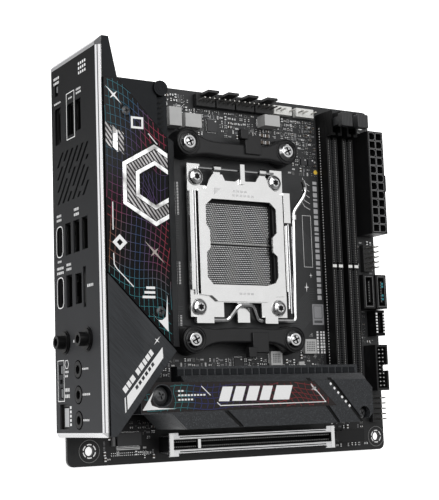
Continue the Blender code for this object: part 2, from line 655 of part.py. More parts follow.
# ---- drive heatsink tower ------------------------------------------------------------------------
TOWER_SCREWS = [(27.0, 28.4), (131.2, 18.4)]
TOWER_GROOVES = [((117.5, 13.0), (99.8, 35.5)), ((131.0, 13.0), (111.4, 35.5)), ((66.8, 13.0), (57.2, 21.6))]
TOWER_GROOVE_W = 1.6
TOWER_OUTLINE = [(17.0, 21.2), (31.4, 21.0), (38.2, 14.4), (132.0, 14.4), (136.2, 18.6), (136.2, 29.8),
                 (132.6, 33.4), (17.0, 34.0)]


def make_tower():
    body = part("drive_heatsink", sheet([TOWER_OUTLINE], (9.0, TOWER_TOP)), "slate_aluminium")
    ledge = [(33.0, TOWER_TOP), (33.6, TOWER_TOP), (36.6, 30.4), (36.6, 27.6), (40.6, 27.6), (40.6, 22.0),
             (33.0, 22.0)]
    join(body, sheet([ledge], (38.5, 134.0), "X"))
    (lx, ly), (rx, ry) = TOWER_SCREWS

    def screw_pockets(low, high):
        return (rod((lx, ly), 4.4, (low + 0.5, high)), rod((rx, ry), 3.0, (low, high), sides=18),
                block(((rx - 2.2, rx + 2.2), (ry - 6.0, ry), (low, high))))

    cut(body, *screw_pockets(30.5, 36.0))
    for p in TOWER_SCREWS:
        cut(body, rod(p, 1.7, (5.0, 32.0), sides=12))
    plate = part("drive_heatsink_plate", sheet([TOWER_OUTLINE], TOWER_PLATE_Z), "slate_aluminium")
    for foot, head in TOWER_GROOVES:
        dx, dy = head[0] - foot[0], head[1] - foot[1]
        half = TOWER_GROOVE_W / 2 * math.hypot(dx, dy) / abs(dy)
        outline = [(foot[0] - half, foot[1]), (foot[0] + half, foot[1]), (head[0] + half, head[1]),
                   (head[0] - half, head[1])]
        cut(plate, sheet([outline], (TOWER_PLATE_Z[1] - 0.7, TOWER_PLATE_Z[1] + 1)))
    cut(plate, *screw_pockets(33.0, 37.0))


def make_tower_screws():
    for number, (p, head_r, seat) in enumerate(zip(TOWER_SCREWS, (3.9, 2.6), (31.3, 30.8)), 1):
        shape = screw_shape(p, head_r, seat, seat + 2.4, 1.4, 12.0)
        screw = smooth(part(f"drive_screw_{number}", shape, "black_coating", origin=(*p, seat)))
        cut(screw, driver_cross(p, head_r * 0.42, head_r * 0.18, seat + 2.4, 1.0))


def make_drive_carrier():
    """Riser that carries the drive socket under the heatsink, with the chipset below it."""
    carrier = part("drive_carrier", block(((22.0, 131.0), (22.0, 33.0), (3.0, 8.7))), "black_plastic")
    join(carrier, block(((22.5, 28.0), (22.5, 32.5), (GAP, 3.0 + OVERLAP)),
                        ((124.0, 130.5), (22.5, 32.5), (GAP, 3.0 + OVERLAP))))
    part("chipset", block(((86.0, 107.0), (18.5, 37.5), (GAP, 2.2))), "silicon")


# ---- memory, power and expansion -----------------------------------------------------------------
def make_memory_slots():
    y0, y1 = DIMM_Y
    hinge_y, hinge_z = DIMM_LATCH_AXIS
    for number, x in enumerate(DIMM_X, 1):
        low, high = x - DIMM_W / 2, x + DIMM_W / 2
        slot = part(f"memory_slot_{number}", block(((low, high), (y0, y1), (GAP, DIMM_TOP))), "black_plastic")
        join(slot, block(((low + 0.1, high - 0.1), (y0 + 0.2, 27.0), (DIMM_TOP - OVERLAP, 13.5))),
             block(((low + 0.1, high - 0.1), (152.8, y1 - 0.2), (DIMM_TOP - OVERLAP, 13.0))))
        grooves = block(((x - 0.75, x + 0.75), (22.0, DIMM_KEY_Y - 1.0), (2.4, 14.5)),
                        ((x - 0.75, x + 0.75), (DIMM_KEY_Y + 1.0, 154.4), (2.4, 14.5)))
        cut(slot, grooves, block(((x - 2.2, x + 2.2), (154.2, y1 + 1), (1.0, 14.0))))
        arm = block(((x - 1.8, x + 1.8), (157.4, 161.4), (1.6, 19.4)))
        latch = part(f"memory_latch_{number}", arm, "grey_plastic", origin=(x, hinge_y, hinge_z))
        join(latch, block(((x - 3.2, x + 3.2), (155.6, 162.2), (18.6, 22.0))))


def make_power_socket():
    socket = part("power_socket", block((ATX_X, ATX_Y, (GAP, ATX_TOP))), "black_plastic")
    start = (ATX_Y[0] + ATX_Y[1]) / 2 - 5.5 * ATX_PITCH
    columns = [(ATX_X[0] + ATX_X[1]) / 2 + side * ATX_PITCH / 2 for side in (-1, 1)]
    half = 1.75
    cells = [((cx - half, cx + half), (start + ATX_PITCH * row - half, start + ATX_PITCH * row + half),
              (3.0, ATX_TOP + 1)) for cx in columns for row in range(12)]
    cut(socket, block(*cells))


def make_expansion_slot():
    x0, x1 = PCIE_X
    y = PCIE_Y
    body = block(((x0 + 0.8, x1 - 0.8), (y - 2.85, y + 2.85), (GAP, 9.9)))
    slot = part("expansion_slot", body, "black_plastic")
    cut(slot, block(*[(x_span, (y - 0.95, y + 0.95), (2.5, 12)) for x_span in PCIE_GROOVES]))

    side = [(x0, y - 5.1), (47.5, y - 5.1), (47.5, y - 3.8), (126.8, y - 3.8), (126.8, y - 5.1), (x1, y - 5.1)]
    outline = side + [(x, 2 * y - v) for x, v in reversed(side)]
    window = [(44.6, y - 2.1), (129.8, y - 2.1), (129.8, y + 2.1), (44.6, y + 2.1)]
    armour = part("slot_armour", sheet([outline, window], (10.2, PCIE_TOP)), "brushed_steel")
    walls = [((x0 + 1.2, x1 - 1.2), (y - 3.8, y - 3.2), (GAP, 10.2 + OVERLAP)),
             ((x0 + 1.2, x1 - 1.2), (y + 3.2, y + 3.8), (GAP, 10.2 + OVERLAP))]
    join(armour, block(*walls))

    hinge_x, hinge_z = PCIE_LATCH_AXIS
    latch = part("slot_latch", block(((133.0, 139.4), (y - 2.4, y + 2.4), (2.2, 7.4))), "black_plastic",
                 origin=(hinge_x, y, hinge_z))
    join(latch, block(((138.6, 152.4), (y - 3.0, y + 3.0), (6.0, 7.4))),
         block(((132.4, 134.0), (y - 1.4, y + 1.4), (6.8, 10.4))))


# ---- headers -------------------------------------------------------------------------------------
def pin_boxes(xs, ys, low, high):
    half = PIN_W / 2
    return [((x - half, x + half), (y - half, y + half), (low, high)) for x in xs for y in ys]


def pin_header(name, base, xs, ys, top, material="black_plastic"):
    header = part(name, block(base), material)
    return join(header, block(*pin_boxes(xs, ys, base[2][1] - OVERLAP, top)))


def make_headers():
    rows = [14.8 + HEADER_PITCH * i for i in range(5)]
    pin_header("usb2_header", ((161.5, 166.6), (13.4, 26.4), (GAP, 2.8)), (162.8, 165.3), rows, 8.6)
    rows = [89.2 + HEADER_PITCH * i for i in range(5)]
    pin_header("front_panel_header", ((160.9, 166.1), (87.6, 101.0), (GAP, 2.8)), (162.2, 164.8), rows, 10.0)

    first, pitch, width = 66.6, 10.9, 10.1
    starts = [first + pitch * i for i in range(4)]
    bases = [((x, x + width), (162.4, 168.3), (1.0, 3.5)) for x in starts]
    fan = part("fan_headers", block(((first, starts[-1] + width), (162.4, 168.3), (GAP, 1.0 + OVERLAP))),
               "black_plastic")
    tabs = [((x + 2.0, x + 7.9), (167.0, 168.2), (3.0, 11.2)) for x in starts]
    pins = [box for x in starts
            for box in pin_boxes([x + 1.24 + HEADER_PITCH * i for i in range(4)], [164.9], 3.0, 9.6)]
    join(fan, block(*bases), block(*tabs), block(*pins))

    for number, x in enumerate((110.2, 123.2), 1):
        pins = [x + 1.4 + HEADER_PITCH * i for i in (0, 1, 3)]
        pin_header(f"light_header_{number}", ((x, x + 10.4), (162.9, 167.2), (GAP, 3.4)), pins, [164.9], 7.6,
                   "white_plastic")


def make_data_ports():
    sata = part("sata_ports", block(((155.4, 169.6), (68.6, 85.4), (GAP, 1.4))), "black_plastic")
    join(sata, block(((155.4, 162.2), (68.6, 85.4), (0.9, 8.6)), ((163.2, 169.6), (68.6, 85.4), (0.9, 8.6))))
    wells = [((x - 1.9, x + 1.9), (70.2, 83.8), (2.6, 10)) for x in (158.9, 166.4)]
    cut(sata, block(*wells))
    blades = [((x - 0.2, x + 1.0), (71.6, 82.4), (2.0, 8.0)) for x in (158.9, 166.4)]
    join(sata, block(*blades))

    usb3 = part("usb3_header", block(((160.2, 167.8), (28.6, 50.8), (GAP, 9.2))), "black_plastic")
    cut(usb3, block(((161.3, 166.7), (29.8, 49.6), (1.6, 11))),
        block(((166.0, 169.0), (38.2, 41.0), (5.0, 11))))

    usb_c = part("usb_c_header", block(((163.2, 168.8), (55.4, 68.0), (GAP, 7.0))), "brushed_steel")
    cut(usb_c, block(((164.4, 167.6), (56.8, 66.6), (2.0, 9))))
    join(usb_c, block(((165.6, 166.4), (58.0, 65.4), (1.5, 6.4))))


make_board()
make_backplate()
make_socket_housing()
make_socket_frame()
make_load_plate()
make_hinge_wire()
make_load_lever()
make_socket_screws()
make_cooler_brackets()
make_cooler_screws()
make_shield()
make_rear_connectors()
make_wireless()
make_audio()
make_optical_port()
make_buttons()
make_cover()
make_cover_panel()
make_cover_screws()
make_vrm_heatsink()
make_tower()
make_tower_screws()
make_drive_carrier()
make_memory_slots()
make_power_socket()
make_expansion_slot()
make_headers()
make_data_ports()
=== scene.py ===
"""Looks of the Mini-ITX motherboard: materials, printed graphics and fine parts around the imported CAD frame.

Places are in board millimetres: x from the rear connector edge, y from the expansion slot edge,
z up from the board's component face.
"""
import math
import random

import bmesh
import bpy
from mathutils import Matrix, Vector


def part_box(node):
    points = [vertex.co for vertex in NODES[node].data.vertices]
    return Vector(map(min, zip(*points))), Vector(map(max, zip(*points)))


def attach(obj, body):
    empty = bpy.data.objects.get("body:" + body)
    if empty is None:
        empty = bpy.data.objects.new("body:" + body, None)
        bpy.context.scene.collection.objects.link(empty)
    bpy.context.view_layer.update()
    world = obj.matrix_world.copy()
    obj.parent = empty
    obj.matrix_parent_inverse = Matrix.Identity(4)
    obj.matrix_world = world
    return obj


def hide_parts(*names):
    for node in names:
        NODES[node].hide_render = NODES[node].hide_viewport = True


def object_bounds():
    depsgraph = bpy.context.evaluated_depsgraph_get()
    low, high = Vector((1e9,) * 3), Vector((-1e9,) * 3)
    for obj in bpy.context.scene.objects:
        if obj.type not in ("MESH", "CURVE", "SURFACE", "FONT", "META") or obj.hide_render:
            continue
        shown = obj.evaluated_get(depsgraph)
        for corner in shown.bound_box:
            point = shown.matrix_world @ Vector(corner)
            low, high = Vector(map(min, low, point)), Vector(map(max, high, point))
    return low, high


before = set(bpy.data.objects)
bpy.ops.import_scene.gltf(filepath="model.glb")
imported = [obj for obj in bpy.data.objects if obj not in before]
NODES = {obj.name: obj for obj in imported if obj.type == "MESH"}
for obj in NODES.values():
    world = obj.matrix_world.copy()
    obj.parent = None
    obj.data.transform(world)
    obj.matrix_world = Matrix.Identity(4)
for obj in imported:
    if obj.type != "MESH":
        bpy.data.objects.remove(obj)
cad_low, cad_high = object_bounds()

MM = 0.001
board_low, board_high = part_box("circuit_board")
ORIGIN = Vector((board_low.x, board_low.y, board_high.z))      # the board's corner on its component face
SINK = 0.03                                                    # how far ink and parts sink into their base
PRINT = 0.05                                                   # thickness of printed ink
SHARP = math.radians(35)                                       # an edge that bends by more than this is sharp
PAINTS = {}                                                    # every paint by its name


def at(x, y, z):
    return ORIGIN + Vector((x, y, z)) * MM


def span(node):
    """A CAD node's lowest and highest corner in board millimetres."""
    low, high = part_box(node)
    return (low - ORIGIN) / MM, (high - ORIGIN) / MM


# ---- shader nodes --------------------------------------------------------------------------------
def feed(tree, socket, value):
    """Link an output to a socket, or set the socket's constant; a colour gets its alpha."""
    if isinstance(value, bpy.types.NodeSocket):
        tree.links.new(value, socket)
    elif socket.type == "RGBA":
        socket.default_value = (*value, 1.0)
    else:
        socket.default_value = value


def new_node(tree, kind, inputs=(), **settings):
    node = tree.nodes.new("ShaderNode" + kind)
    for setting, value in settings.items():
        setattr(node, setting, value)
    for socket, value in dict(inputs).items():
        feed(tree, node.inputs[socket], value)
    return node


def new_ramp(tree, factor, stops):
    """A colour ramp; each stop is a place from 0 to 1 with a colour or a grey."""
    node = new_node(tree, "ValToRGB", {0: factor})
    elements = node.color_ramp.elements
    elements.remove(elements[1])
    elements[0].position = stops[0][0]
    for i, (position, tone) in enumerate(stops):
        element = elements.new(position) if i else elements[0]
        element.color = (*(tone if isinstance(tone, tuple) else (tone,) * 3), 1.0)
    return node.outputs[0]


class Paint:
    """A Principled material; its texture nodes read the place on the object in board millimetres."""

    def __init__(self, name, metallic=0.0, roughness=0.5, specular=0.5, anisotropic=0.0):
        PAINTS[name] = self
        self.material = bpy.data.materials.new(name)
        self.material.use_nodes = True
        self.tree = self.material.node_tree
        self.shader = self.tree.nodes["Principled BSDF"]
        self.set("Metallic", metallic)
        self.set("Roughness", roughness)
        self.set("Specular IOR Level", specular)
        self.set("Anisotropic", anisotropic)
        coords = self.node("TexCoord")["Object"]
        shifted = self.node("VectorMath", {0: coords, 1: tuple(ORIGIN)}, operation="SUBTRACT")[0]
        self.place = self.node("VectorMath", {0: shifted, 1: (1 / MM,) * 3}, operation="MULTIPLY")[0]
        self.x, self.y, self.z = self.node("SeparateXYZ", {0: self.place})

    def set(self, socket, value):
        feed(self.tree, self.shader.inputs[socket], value)

    def node(self, kind, inputs=(), **settings):
        return new_node(self.tree, kind, inputs, **settings).outputs

    def math(self, operation, a, b=0.0, c=0.0, clamp=False):
        return self.node("Math", {0: a, 1: b, 2: c}, operation=operation, use_clamp=clamp)[0]

    def share(self, value, start, reach):
        """How far a value has come from start over a reach, from 0 to 1."""
        return self.math("DIVIDE", self.math("SUBTRACT", value, start), reach, clamp=True)

    def between(self, low, high, value, soft=0.02):
        """1 where the value lies between low and high, else 0."""
        return self.math("MULTIPLY", self.share(value, low, soft), self.share(high, value, soft))

    def noise(self, scale, detail=3.0, stretch=(1, 1, 1), turn=0.0, roughness=0.5):
        """Noise of a number of features per millimetre, stretched along axes turned about z."""
        mapping = {"Scale": tuple(1 / s for s in stretch), "Rotation": (0, 0, turn), "Vector": self.place}
        mapped = self.node("Mapping", mapping, vector_type="TEXTURE")[0]
        settings = {"Scale": scale, "Detail": detail, "Roughness": roughness, "Vector": mapped}
        return self.node("TexNoise", settings)[0]

    def cells(self, scale):
        """Three random numbers that are even within each cell of a Voronoi pattern."""
        colour = self.node("TexVoronoi", {"Scale": scale, "Randomness": 1.0, "Vector": self.place})["Color"]
        return self.node("SeparateColor", {0: colour})

    def ramp(self, factor, stops):
        return new_ramp(self.tree, factor, stops)

    def tones(self, factor, colour, spread, low=0.3, high=0.7):
        """A colour that goes from darker to lighter as a factor rises from low to high."""
        dark = tuple(c * (1 - spread) for c in colour)
        light = tuple(min(1.0, c * (1 + spread)) for c in colour)
        return self.ramp(factor, [(low, dark), (high, light)])

    def mix(self, factor, a, b):
        return self.node("Mix", {0: factor, 6: a, 7: b}, data_type="RGBA")[2]

    def colour(self, value):
        self.set("Base Color", value)

    def rough(self, factor, low, high):
        """Roughness that varies between two values with a 0 to 1 factor."""
        self.set("Roughness", self.node("MapRange", {0: factor, "To Min": low, "To Max": high})[0])

    def bare_metal(self, zone, fine, roughness, painted, grain):
        """Bare metal of one roughness in a zone, a painted roughness elsewhere, and some grain on both."""
        self.set("Metallic", zone)
        uneven = self.math("MULTIPLY_ADD", fine, grain, painted)
        self.set("Roughness", self.math("MULTIPLY_ADD", zone, roughness - painted, uneven))

    def bump(self, height, distance):
        """Bump whose height of 1 stands for a distance in millimetres."""
        settings = {"Strength": 1.0, "Distance": distance * MM, "Height": height}
        self.set("Normal", self.node("Bump", settings)[0])


# ---- camera, floor and light ---------------------------------------------------------------------
def make_camera():
    data = bpy.data.cameras.new("camera")
    data.lens = 84.44
    data.sensor_width = 36.0
    data.clip_start = 0.01
    data.clip_end = 20.0
    camera = bpy.data.objects.new("camera", data)
    right = Vector((0.85366, -0.03443, 0.51969))
    up = Vector((-0.04057, 0.99039, 0.13226))
    back = Vector((-0.51925, -0.13398, 0.84406))
    turn = Matrix((right, up, back)).transposed().to_4x4()
    camera.matrix_world = Matrix.Translation(at(-204.448, 22.415, 459.845)) @ turn
    bpy.context.scene.collection.objects.link(camera)
    bpy.context.scene.camera = camera
    bpy.context.scene.view_settings.view_transform = "Standard"


def make_softbox():
    """One soft light high above the board's upper left, aimed at its middle."""
    data = bpy.data.lights.new("top_softbox", "AREA")
    data.shape = "RECTANGLE"
    data.size, data.size_y = 0.7, 0.5
    data.energy = 3.4
    light = bpy.data.objects.new("top_softbox", data)
    light.location = at(-40, 330, 640)
    direction = at(85, 90, 0) - at(-40, 330, 640)
    light.rotation_euler = direction.to_track_quat("-Z", "Y").to_euler()
    bpy.context.scene.collection.objects.link(light)


def make_world():
    """A dim room with two broad soft windows: one high on the right, one low on the left."""
    world = bpy.data.worlds.new("studio")
    bpy.context.scene.world = world
    world.use_nodes = True
    tree = world.node_tree
    place = new_node(tree, "TexCoord").outputs["Generated"]
    right = [(0.0, 0.12), (0.45, 0.07), (0.74, 0.14), (0.88, 0.78), (0.97, 0.88), (1.0, 0.98)]
    left = [(0.0, 0.0), (0.80, 0.0), (0.90, 0.70), (1.0, 0.95)]
    glows = []
    for direction, stops in (((0.519, 0.134, 0.844), right), ((-0.887, 0.134, 0.430), left)):
        aim = new_node(tree, "VectorMath", {0: place, 1: direction}, operation="DOT_PRODUCT")
        glows.append(new_ramp(tree, aim.outputs["Value"], stops))
    both = new_node(tree, "VectorMath", {0: glows[0], 1: glows[1]}, operation="ADD")
    feed(tree, tree.nodes["Background"].inputs[0], both.outputs[0])
    feed(tree, tree.nodes["Background"].inputs[1], 1.0)


def make_stage():
    shape = bmesh.new()
    bmesh.ops.create_grid(shape, x_segments=2, y_segments=2, size=4.0)
    mesh = bpy.data.meshes.new("floor")
    shape.to_mesh(mesh)
    shape.free()
    floor = bpy.data.objects.new("floor", mesh)
    floor.location = (0, 0, cad_low.z - 0.0002)
    bpy.context.scene.collection.objects.link(floor)
    paint = Paint("studio_floor", roughness=0.9, specular=0.0)
    paint.colour(paint.ramp(paint.noise(0.002, 2), [(0.3, 0.90), (0.7, 0.94)]))
    paint.set("Emission Color", (1, 1, 1))
    paint.set("Emission Strength", 0.85)
    mesh.materials.append(paint.material)


# ---- procedural materials ------------------------------------------------------------------------
def grained(name, colour, roughness, metallic=0.0, grain=6.0, spread=0.18, relief=0.01, specular=0.5):
    """A moulded or blasted finish: fine grain in colour, gloss and relief, and a broad soft variation."""
    paint = Paint(name, metallic=metallic, specular=specular)
    fine = paint.noise(grain, 4)
    broad = paint.noise(grain * 0.05, 2)
    total = paint.math("MULTIPLY_ADD", fine, 0.6, paint.math("MULTIPLY", broad, 0.4))
    paint.colour(paint.tones(total, colour, spread, 0.32, 0.68))
    paint.rough(fine, *roughness)
    paint.bump(fine, relief)


def brushed(name, colour, roughness=(0.25, 0.45), metallic=1.0, turn=0.0, grain=5.0, spread=0.25,
            relief=0.01):
    """Metal brushed in one direction; turn is the angle of the lines about z."""
    paint = Paint(name, metallic=metallic, anisotropic=0.4)
    lines = paint.noise(grain, 5, stretch=(0.03, 1.0, 1.0), turn=turn, roughness=0.7)
    paint.colour(paint.tones(lines, colour, spread, 0.35, 0.65))
    paint.rough(lines, *roughness)
    paint.bump(lines, relief)


def plated(name, colour):
    """Bright plating: broad waves in tone and faint scratches in gloss."""
    paint = Paint(name, metallic=1.0)
    scratches = paint.noise(4.0, 5, stretch=(1, 0.06, 1), turn=0.5)
    paint.colour(paint.tones(paint.noise(0.5, 3), colour, 0.08))
    paint.rough(scratches, 0.08, 0.16)
    paint.bump(scratches, 0.004)


def board_paint():
    """Black solder mask over copper: faint rows of straight and slanting lines, and a fine weave; painted
    shade darkens it towards low x and low y.
    """
    paint = Paint("board", specular=0.35)
    mask = (0.0190, 0.0195, 0.0205)
    copper = (0.0290, 0.0295, 0.0305)
    # colour of the painted shade
    dark = (0.0045, 0.0045, 0.0050)
    zones = paint.cells(0.06)
    runs = []
    for direction in (paint.x, paint.y, paint.math("ADD", paint.x, paint.y)):
        saw = paint.math("FRACT", paint.math("MULTIPLY", direction, 1.35))
        runs.append(paint.between(0.15, 0.55, saw, soft=0.08))
    first = paint.mix(paint.math("GREATER_THAN", zones[0], 0.66), runs[0], runs[2])
    second = paint.mix(paint.math("GREATER_THAN", zones[1], 0.5), first, runs[1])
    patch = paint.math("GREATER_THAN", paint.noise(0.09, 2), 0.47)
    amount = paint.mix(patch, (0, 0, 0), second)
    weave = paint.noise(5.0, 3)
    base = paint.ramp(weave, [(0.3, mask), (0.7, tuple(c * 1.35 for c in mask))])
    printed = paint.mix(paint.math("MULTIPLY", amount, 0.8), base, copper)
    # painted shade: towards low y and low x the mask is mixed up to three quarters of the way to near black
    painted_shade = paint.math("MAXIMUM", paint.share(40.0, paint.y, 30.0), paint.share(60.0, paint.x, 12.0))
    paint.colour(paint.mix(paint.math("MULTIPLY", painted_shade, 0.75), printed, dark))
    paint.rough(weave, 0.36, 0.52)
    paint.bump(paint.math("ADD", amount, paint.math("MULTIPLY", weave, 0.25)), 0.02)


def zoned(name, colour, zone_colour, zone):
    """Moulded plastic whose pins or contacts, chosen by place, are bare metal; zone makes the mask."""
    paint = Paint(name)
    fine = paint.noise(6.0, 4)
    inside = zone(paint)
    plastic = paint.tones(fine, colour, 0.2, 0.35, 0.65)
    metal = paint.tones(fine, zone_colour, 0.12, 0.35, 0.65)
    paint.colour(paint.mix(inside, plastic, metal))
    paint.bare_metal(inside, fine, 0.25, 0.5, 0.06)
    paint.bump(fine, 0.01)


def worn_ink(paint, ink, worn_colour):
    """Colour and gloss of an ink that has worn unevenly."""
    worn = paint.noise(1.4, 3)
    paint.colour(paint.mix(paint.math("MULTIPLY", worn, 0.35), ink, worn_colour))
    paint.rough(worn, 0.3, 0.5)


def glow_print():
    """Ink of the wire grid, whose hue runs from teal through violet and red to orange across the panel."""
    paint = Paint("grid_ink", roughness=0.35, specular=0.3)
    teal, cyan, blue = (0.012, 0.150, 0.180), (0.018, 0.200, 0.200), (0.012, 0.060, 0.170)
    violet, indigo, pink = (0.075, 0.022, 0.120), (0.022, 0.022, 0.090), (0.210, 0.012, 0.075)
    red, orange, rose = (0.330, 0.008, 0.025), (0.260, 0.090, 0.025), (0.150, 0.090, 0.105)
    crimson = (0.300, 0.008, 0.045)
    left = [(0.0, cyan), (0.27, cyan), (0.32, orange), (0.44, orange), (0.50, red), (0.57, pink),
            (0.66, indigo), (0.78, teal), (1.0, teal)]
    middle = [(0.0, cyan), (0.22, teal), (0.30, blue), (0.44, blue), (0.52, violet), (0.66, indigo),
              (0.76, violet), (0.88, blue), (1.0, teal)]
    right = [(0.0, cyan), (0.16, teal), (0.24, rose), (0.31, red), (0.44, red), (0.51, violet),
             (0.64, indigo), (0.72, pink), (0.80, red), (1.0, pink)]
    along = paint.share(paint.y, 48.0, 110.0)
    ramps = [paint.ramp(along, stops) for stops in (left, middle, right)]
    half_way = 14.5
    left_half = paint.mix(paint.share(paint.x, 0.0, half_way), ramps[0], ramps[1])
    ink = paint.mix(paint.share(paint.x, half_way, half_way), left_half, ramps[2])

    def squared(value, middle, size):
        offset = paint.math("DIVIDE", paint.math("SUBTRACT", value, middle), size)
        return paint.math("POWER", offset, 2.0)

    away = paint.math("ADD", squared(paint.x, 27.0, 11.0), squared(paint.y, 132.0, 13.0))
    worn_ink(paint, paint.mix(paint.share(1.05, away, 0.625), ink, crimson), (0.01, 0.01, 0.012))


def strip_print():
    """Ink of the drive heatsink's grid: teal, then blue, then red along the strip."""
    paint = Paint("strip_ink", roughness=0.35, specular=0.3)
    stops = [(0.0, (0.012, 0.170, 0.190)), (0.20, (0.014, 0.190, 0.200)), (0.26, (0.015, 0.030, 0.180)),
             (0.42, (0.020, 0.020, 0.120)), (0.55, (0.080, 0.014, 0.050)), (0.68, (0.240, 0.012, 0.016)),
             (1.0, (0.210, 0.012, 0.016))]
    worn_ink(paint, paint.ramp(paint.share(paint.x, 17.0, 100.0), stops), (0.02, 0.015, 0.015))


def hatched():
    """Silver foil crossed by dark slanting lines."""
    paint = Paint("hatched", metallic=0.6, roughness=0.3)
    slant = paint.math("ADD", paint.math("MULTIPLY", paint.x, 0.80), paint.math("MULTIPLY", paint.y, 0.60))
    saw = paint.math("FRACT", paint.math("MULTIPLY", slant, 0.70))
    sheen = paint.noise(0.12, 2)
    silver = paint.ramp(sheen, [(0.3, (0.20, 0.19, 0.19)), (0.7, (0.50, 0.49, 0.49))])
    paint.colour(paint.mix(paint.between(0.05, 0.62, saw, soft=0.05), silver, (0.006, 0.006, 0.007)))
    paint.rough(sheen, 0.25, 0.4)


def foil():
    """Bright silver foil with broad light and dark areas."""
    paint = Paint("foil", metallic=0.7, roughness=0.22)
    sheen = paint.noise(0.11, 2)
    stops = [(0.36, (0.20, 0.195, 0.19)), (0.48, 0.82), (0.60, 0.80), (0.72, (0.30, 0.29, 0.29))]
    paint.colour(paint.ramp(sheen, stops))
    paint.rough(sheen, 0.18, 0.3)


def ink(name, colour, spread=0.06):
    """Printed ink with a slightly uneven surface."""
    paint = Paint(name, specular=0.3)
    tone = paint.noise(3.0, 3)
    paint.colour(paint.tones(tone, colour, spread))
    paint.rough(tone, 0.45, 0.65)


def shield_paint():
    """Charcoal satin paint on the shield's face, with painted light and shade that run from near black at high
    y to lighter towards its foot; its flared rim is bare steel with painted shade in bands and fold lines.
    """
    paint = Paint("shield", specular=0.02)
    low, high = span("io_shield")
    fine = paint.noise(7.0, 4)
    flare, top_flare = 1.9, 3.5
    face_y = paint.between(low.y + flare, high.y - top_flare, paint.y)
    face_z = paint.between(low.z + flare, high.z - flare, paint.z)
    outer = paint.math("GREATER_THAN", -1.9, paint.x)
    face = paint.math("MULTIPLY", paint.math("MULTIPLY", face_y, face_z), outer)
    rim = paint.math("SUBTRACT", 1.0, face)
    # painted shade: two thin dark lines along the rim's folds
    fold = paint.math("MAXIMUM", paint.between(high.z - 1.15, high.z - 0.80, paint.z),
                      paint.between(high.z - 2.0, high.z - 1.75, paint.z))
    # painted light and shade: the face's colour runs from near black at high y to a lighter grey at low y
    upper = paint.ramp(fine, [(0.3, (0.0022, 0.0023, 0.0027)), (0.7, (0.0036, 0.0038, 0.0043))])
    lower = paint.ramp(fine, [(0.3, (0.0440, 0.0450, 0.0475)), (0.7, (0.0530, 0.0542, 0.0570))])
    painted = paint.mix(paint.share(170.0, paint.y, 155.0), upper, lower)
    bare = paint.ramp(fine, [(0.3, (0.80, 0.80, 0.81)), (0.7, (0.90, 0.90, 0.91))])
    # painted shade: darker bands along the rim's top and bottom edges, laid with the fold lines over the bare
    # steel
    top_rim_shade = paint.math("GREATER_THAN", paint.y, high.y - top_flare)
    bottom_rim_shade = paint.math("LESS_THAN", paint.y, low.y + flare)
    for band, tone in ((fold, (0.10, 0.10, 0.11)), (top_rim_shade, (0.15, 0.15, 0.155)),
                       (bottom_rim_shade, (0.52, 0.52, 0.525))):
        bare = paint.mix(band, bare, tone)
    paint.colour(paint.mix(rim, painted, bare))
    paint.bare_metal(rim, fine, 0.20, 0.42, 0.08)
    paint.bump(fine, 0.008)


def sparkle():
    """Bead-blasted dark slate aluminium with scattered brighter grains."""
    paint = Paint("slate", metallic=0.4)
    grains = paint.cells(5.5)
    paint.colour(paint.ramp(grains[0], [(0.0, (0.017, 0.018, 0.020)), (0.80, (0.023, 0.025, 0.028)),
                                        (0.93, (0.050, 0.054, 0.060)), (1.0, (0.110, 0.117, 0.125))]))
    paint.rough(grains[1], 0.42, 0.56)
    paint.bump(paint.noise(7.0, 3), 0.008)


def ribbed(name, colour, pitch):
    """Moulded plastic with fine ribs across x; painted shade darkens the rib hollows and painted highlight
    lightens the crests.
    """
    paint = Paint(name)
    fine = paint.noise(6.0, 3)
    height = paint.math("MULTIPLY", paint.math("PINGPONG", paint.x, pitch / 2), 2 / pitch)
    total = paint.math("ADD", paint.math("MULTIPLY", height, 0.7), paint.math("MULTIPLY", fine, 0.3))
    # painted shade and highlight: the colour follows the rib height, darker in the hollows and lighter on the
    # crests
    paint.colour(paint.tones(total, colour, 0.35, 0.2, 0.8))
    paint.rough(fine, 0.4, 0.55)
    paint.bump(height, 0.12)


make_camera()
board_paint()
shield_paint()
sparkle()
glow_print()
strip_print()
hatched()
foil()
ribbed("latch_grey", (0.0150, 0.0155, 0.0165), 0.9)
plated("chrome", (0.60, 0.60, 0.605))
brushed("steel", (0.50, 0.50, 0.51))
brushed("armour", (0.72, 0.72, 0.73), (0.2, 0.34), spread=0.15)
brushed("slate_brushed", (0.020, 0.022, 0.025), (0.32, 0.5), 0.45, turn=-math.pi / 4, grain=3.6, spread=0.45,
        relief=0.02)
grained("black_plastic", (0.0075, 0.0075, 0.0080), (0.38, 0.52), grain=5.0, specular=0.25)
grained("deep_black", (0.0040, 0.0040, 0.0042), (0.45, 0.6), grain=5.0, specular=0.15)
grained("grey_plastic", (0.10, 0.105, 0.11), (0.45, 0.6), grain=5.0)
grained("white_plastic", (0.74, 0.74, 0.72), (0.4, 0.55), grain=5.0, spread=0.05)
grained("nickel", (0.77, 0.77, 0.767), (0.16, 0.26), 1.0, grain=3.0, spread=0.05, relief=0.004)
grained("screw_coat", (0.060, 0.061, 0.063), (0.3, 0.42), 0.5)
grained("black_coat", (0.0130, 0.0130, 0.0137), (0.26, 0.36), grain=4.0, specular=0.3)
grained("slate_smooth", (0.0095, 0.0105, 0.0122), (0.42, 0.55), 0.25, specular=0.15)
grained("gloss", (0.0018, 0.0018, 0.0022), (0.10, 0.18), grain=1.2, spread=0.3, relief=0.001,
        specular=0.12)
grained("brown_gloss", (0.0150, 0.0115, 0.0110), (0.12, 0.2), grain=1.2, spread=0.3, relief=0.001,
        specular=0.2)
grained("smoked", (0.42, 0.43, 0.44), (0.3, 0.45), grain=3.0)
grained("silicon", (0.016, 0.016, 0.018), (0.3, 0.42), grain=5.0)
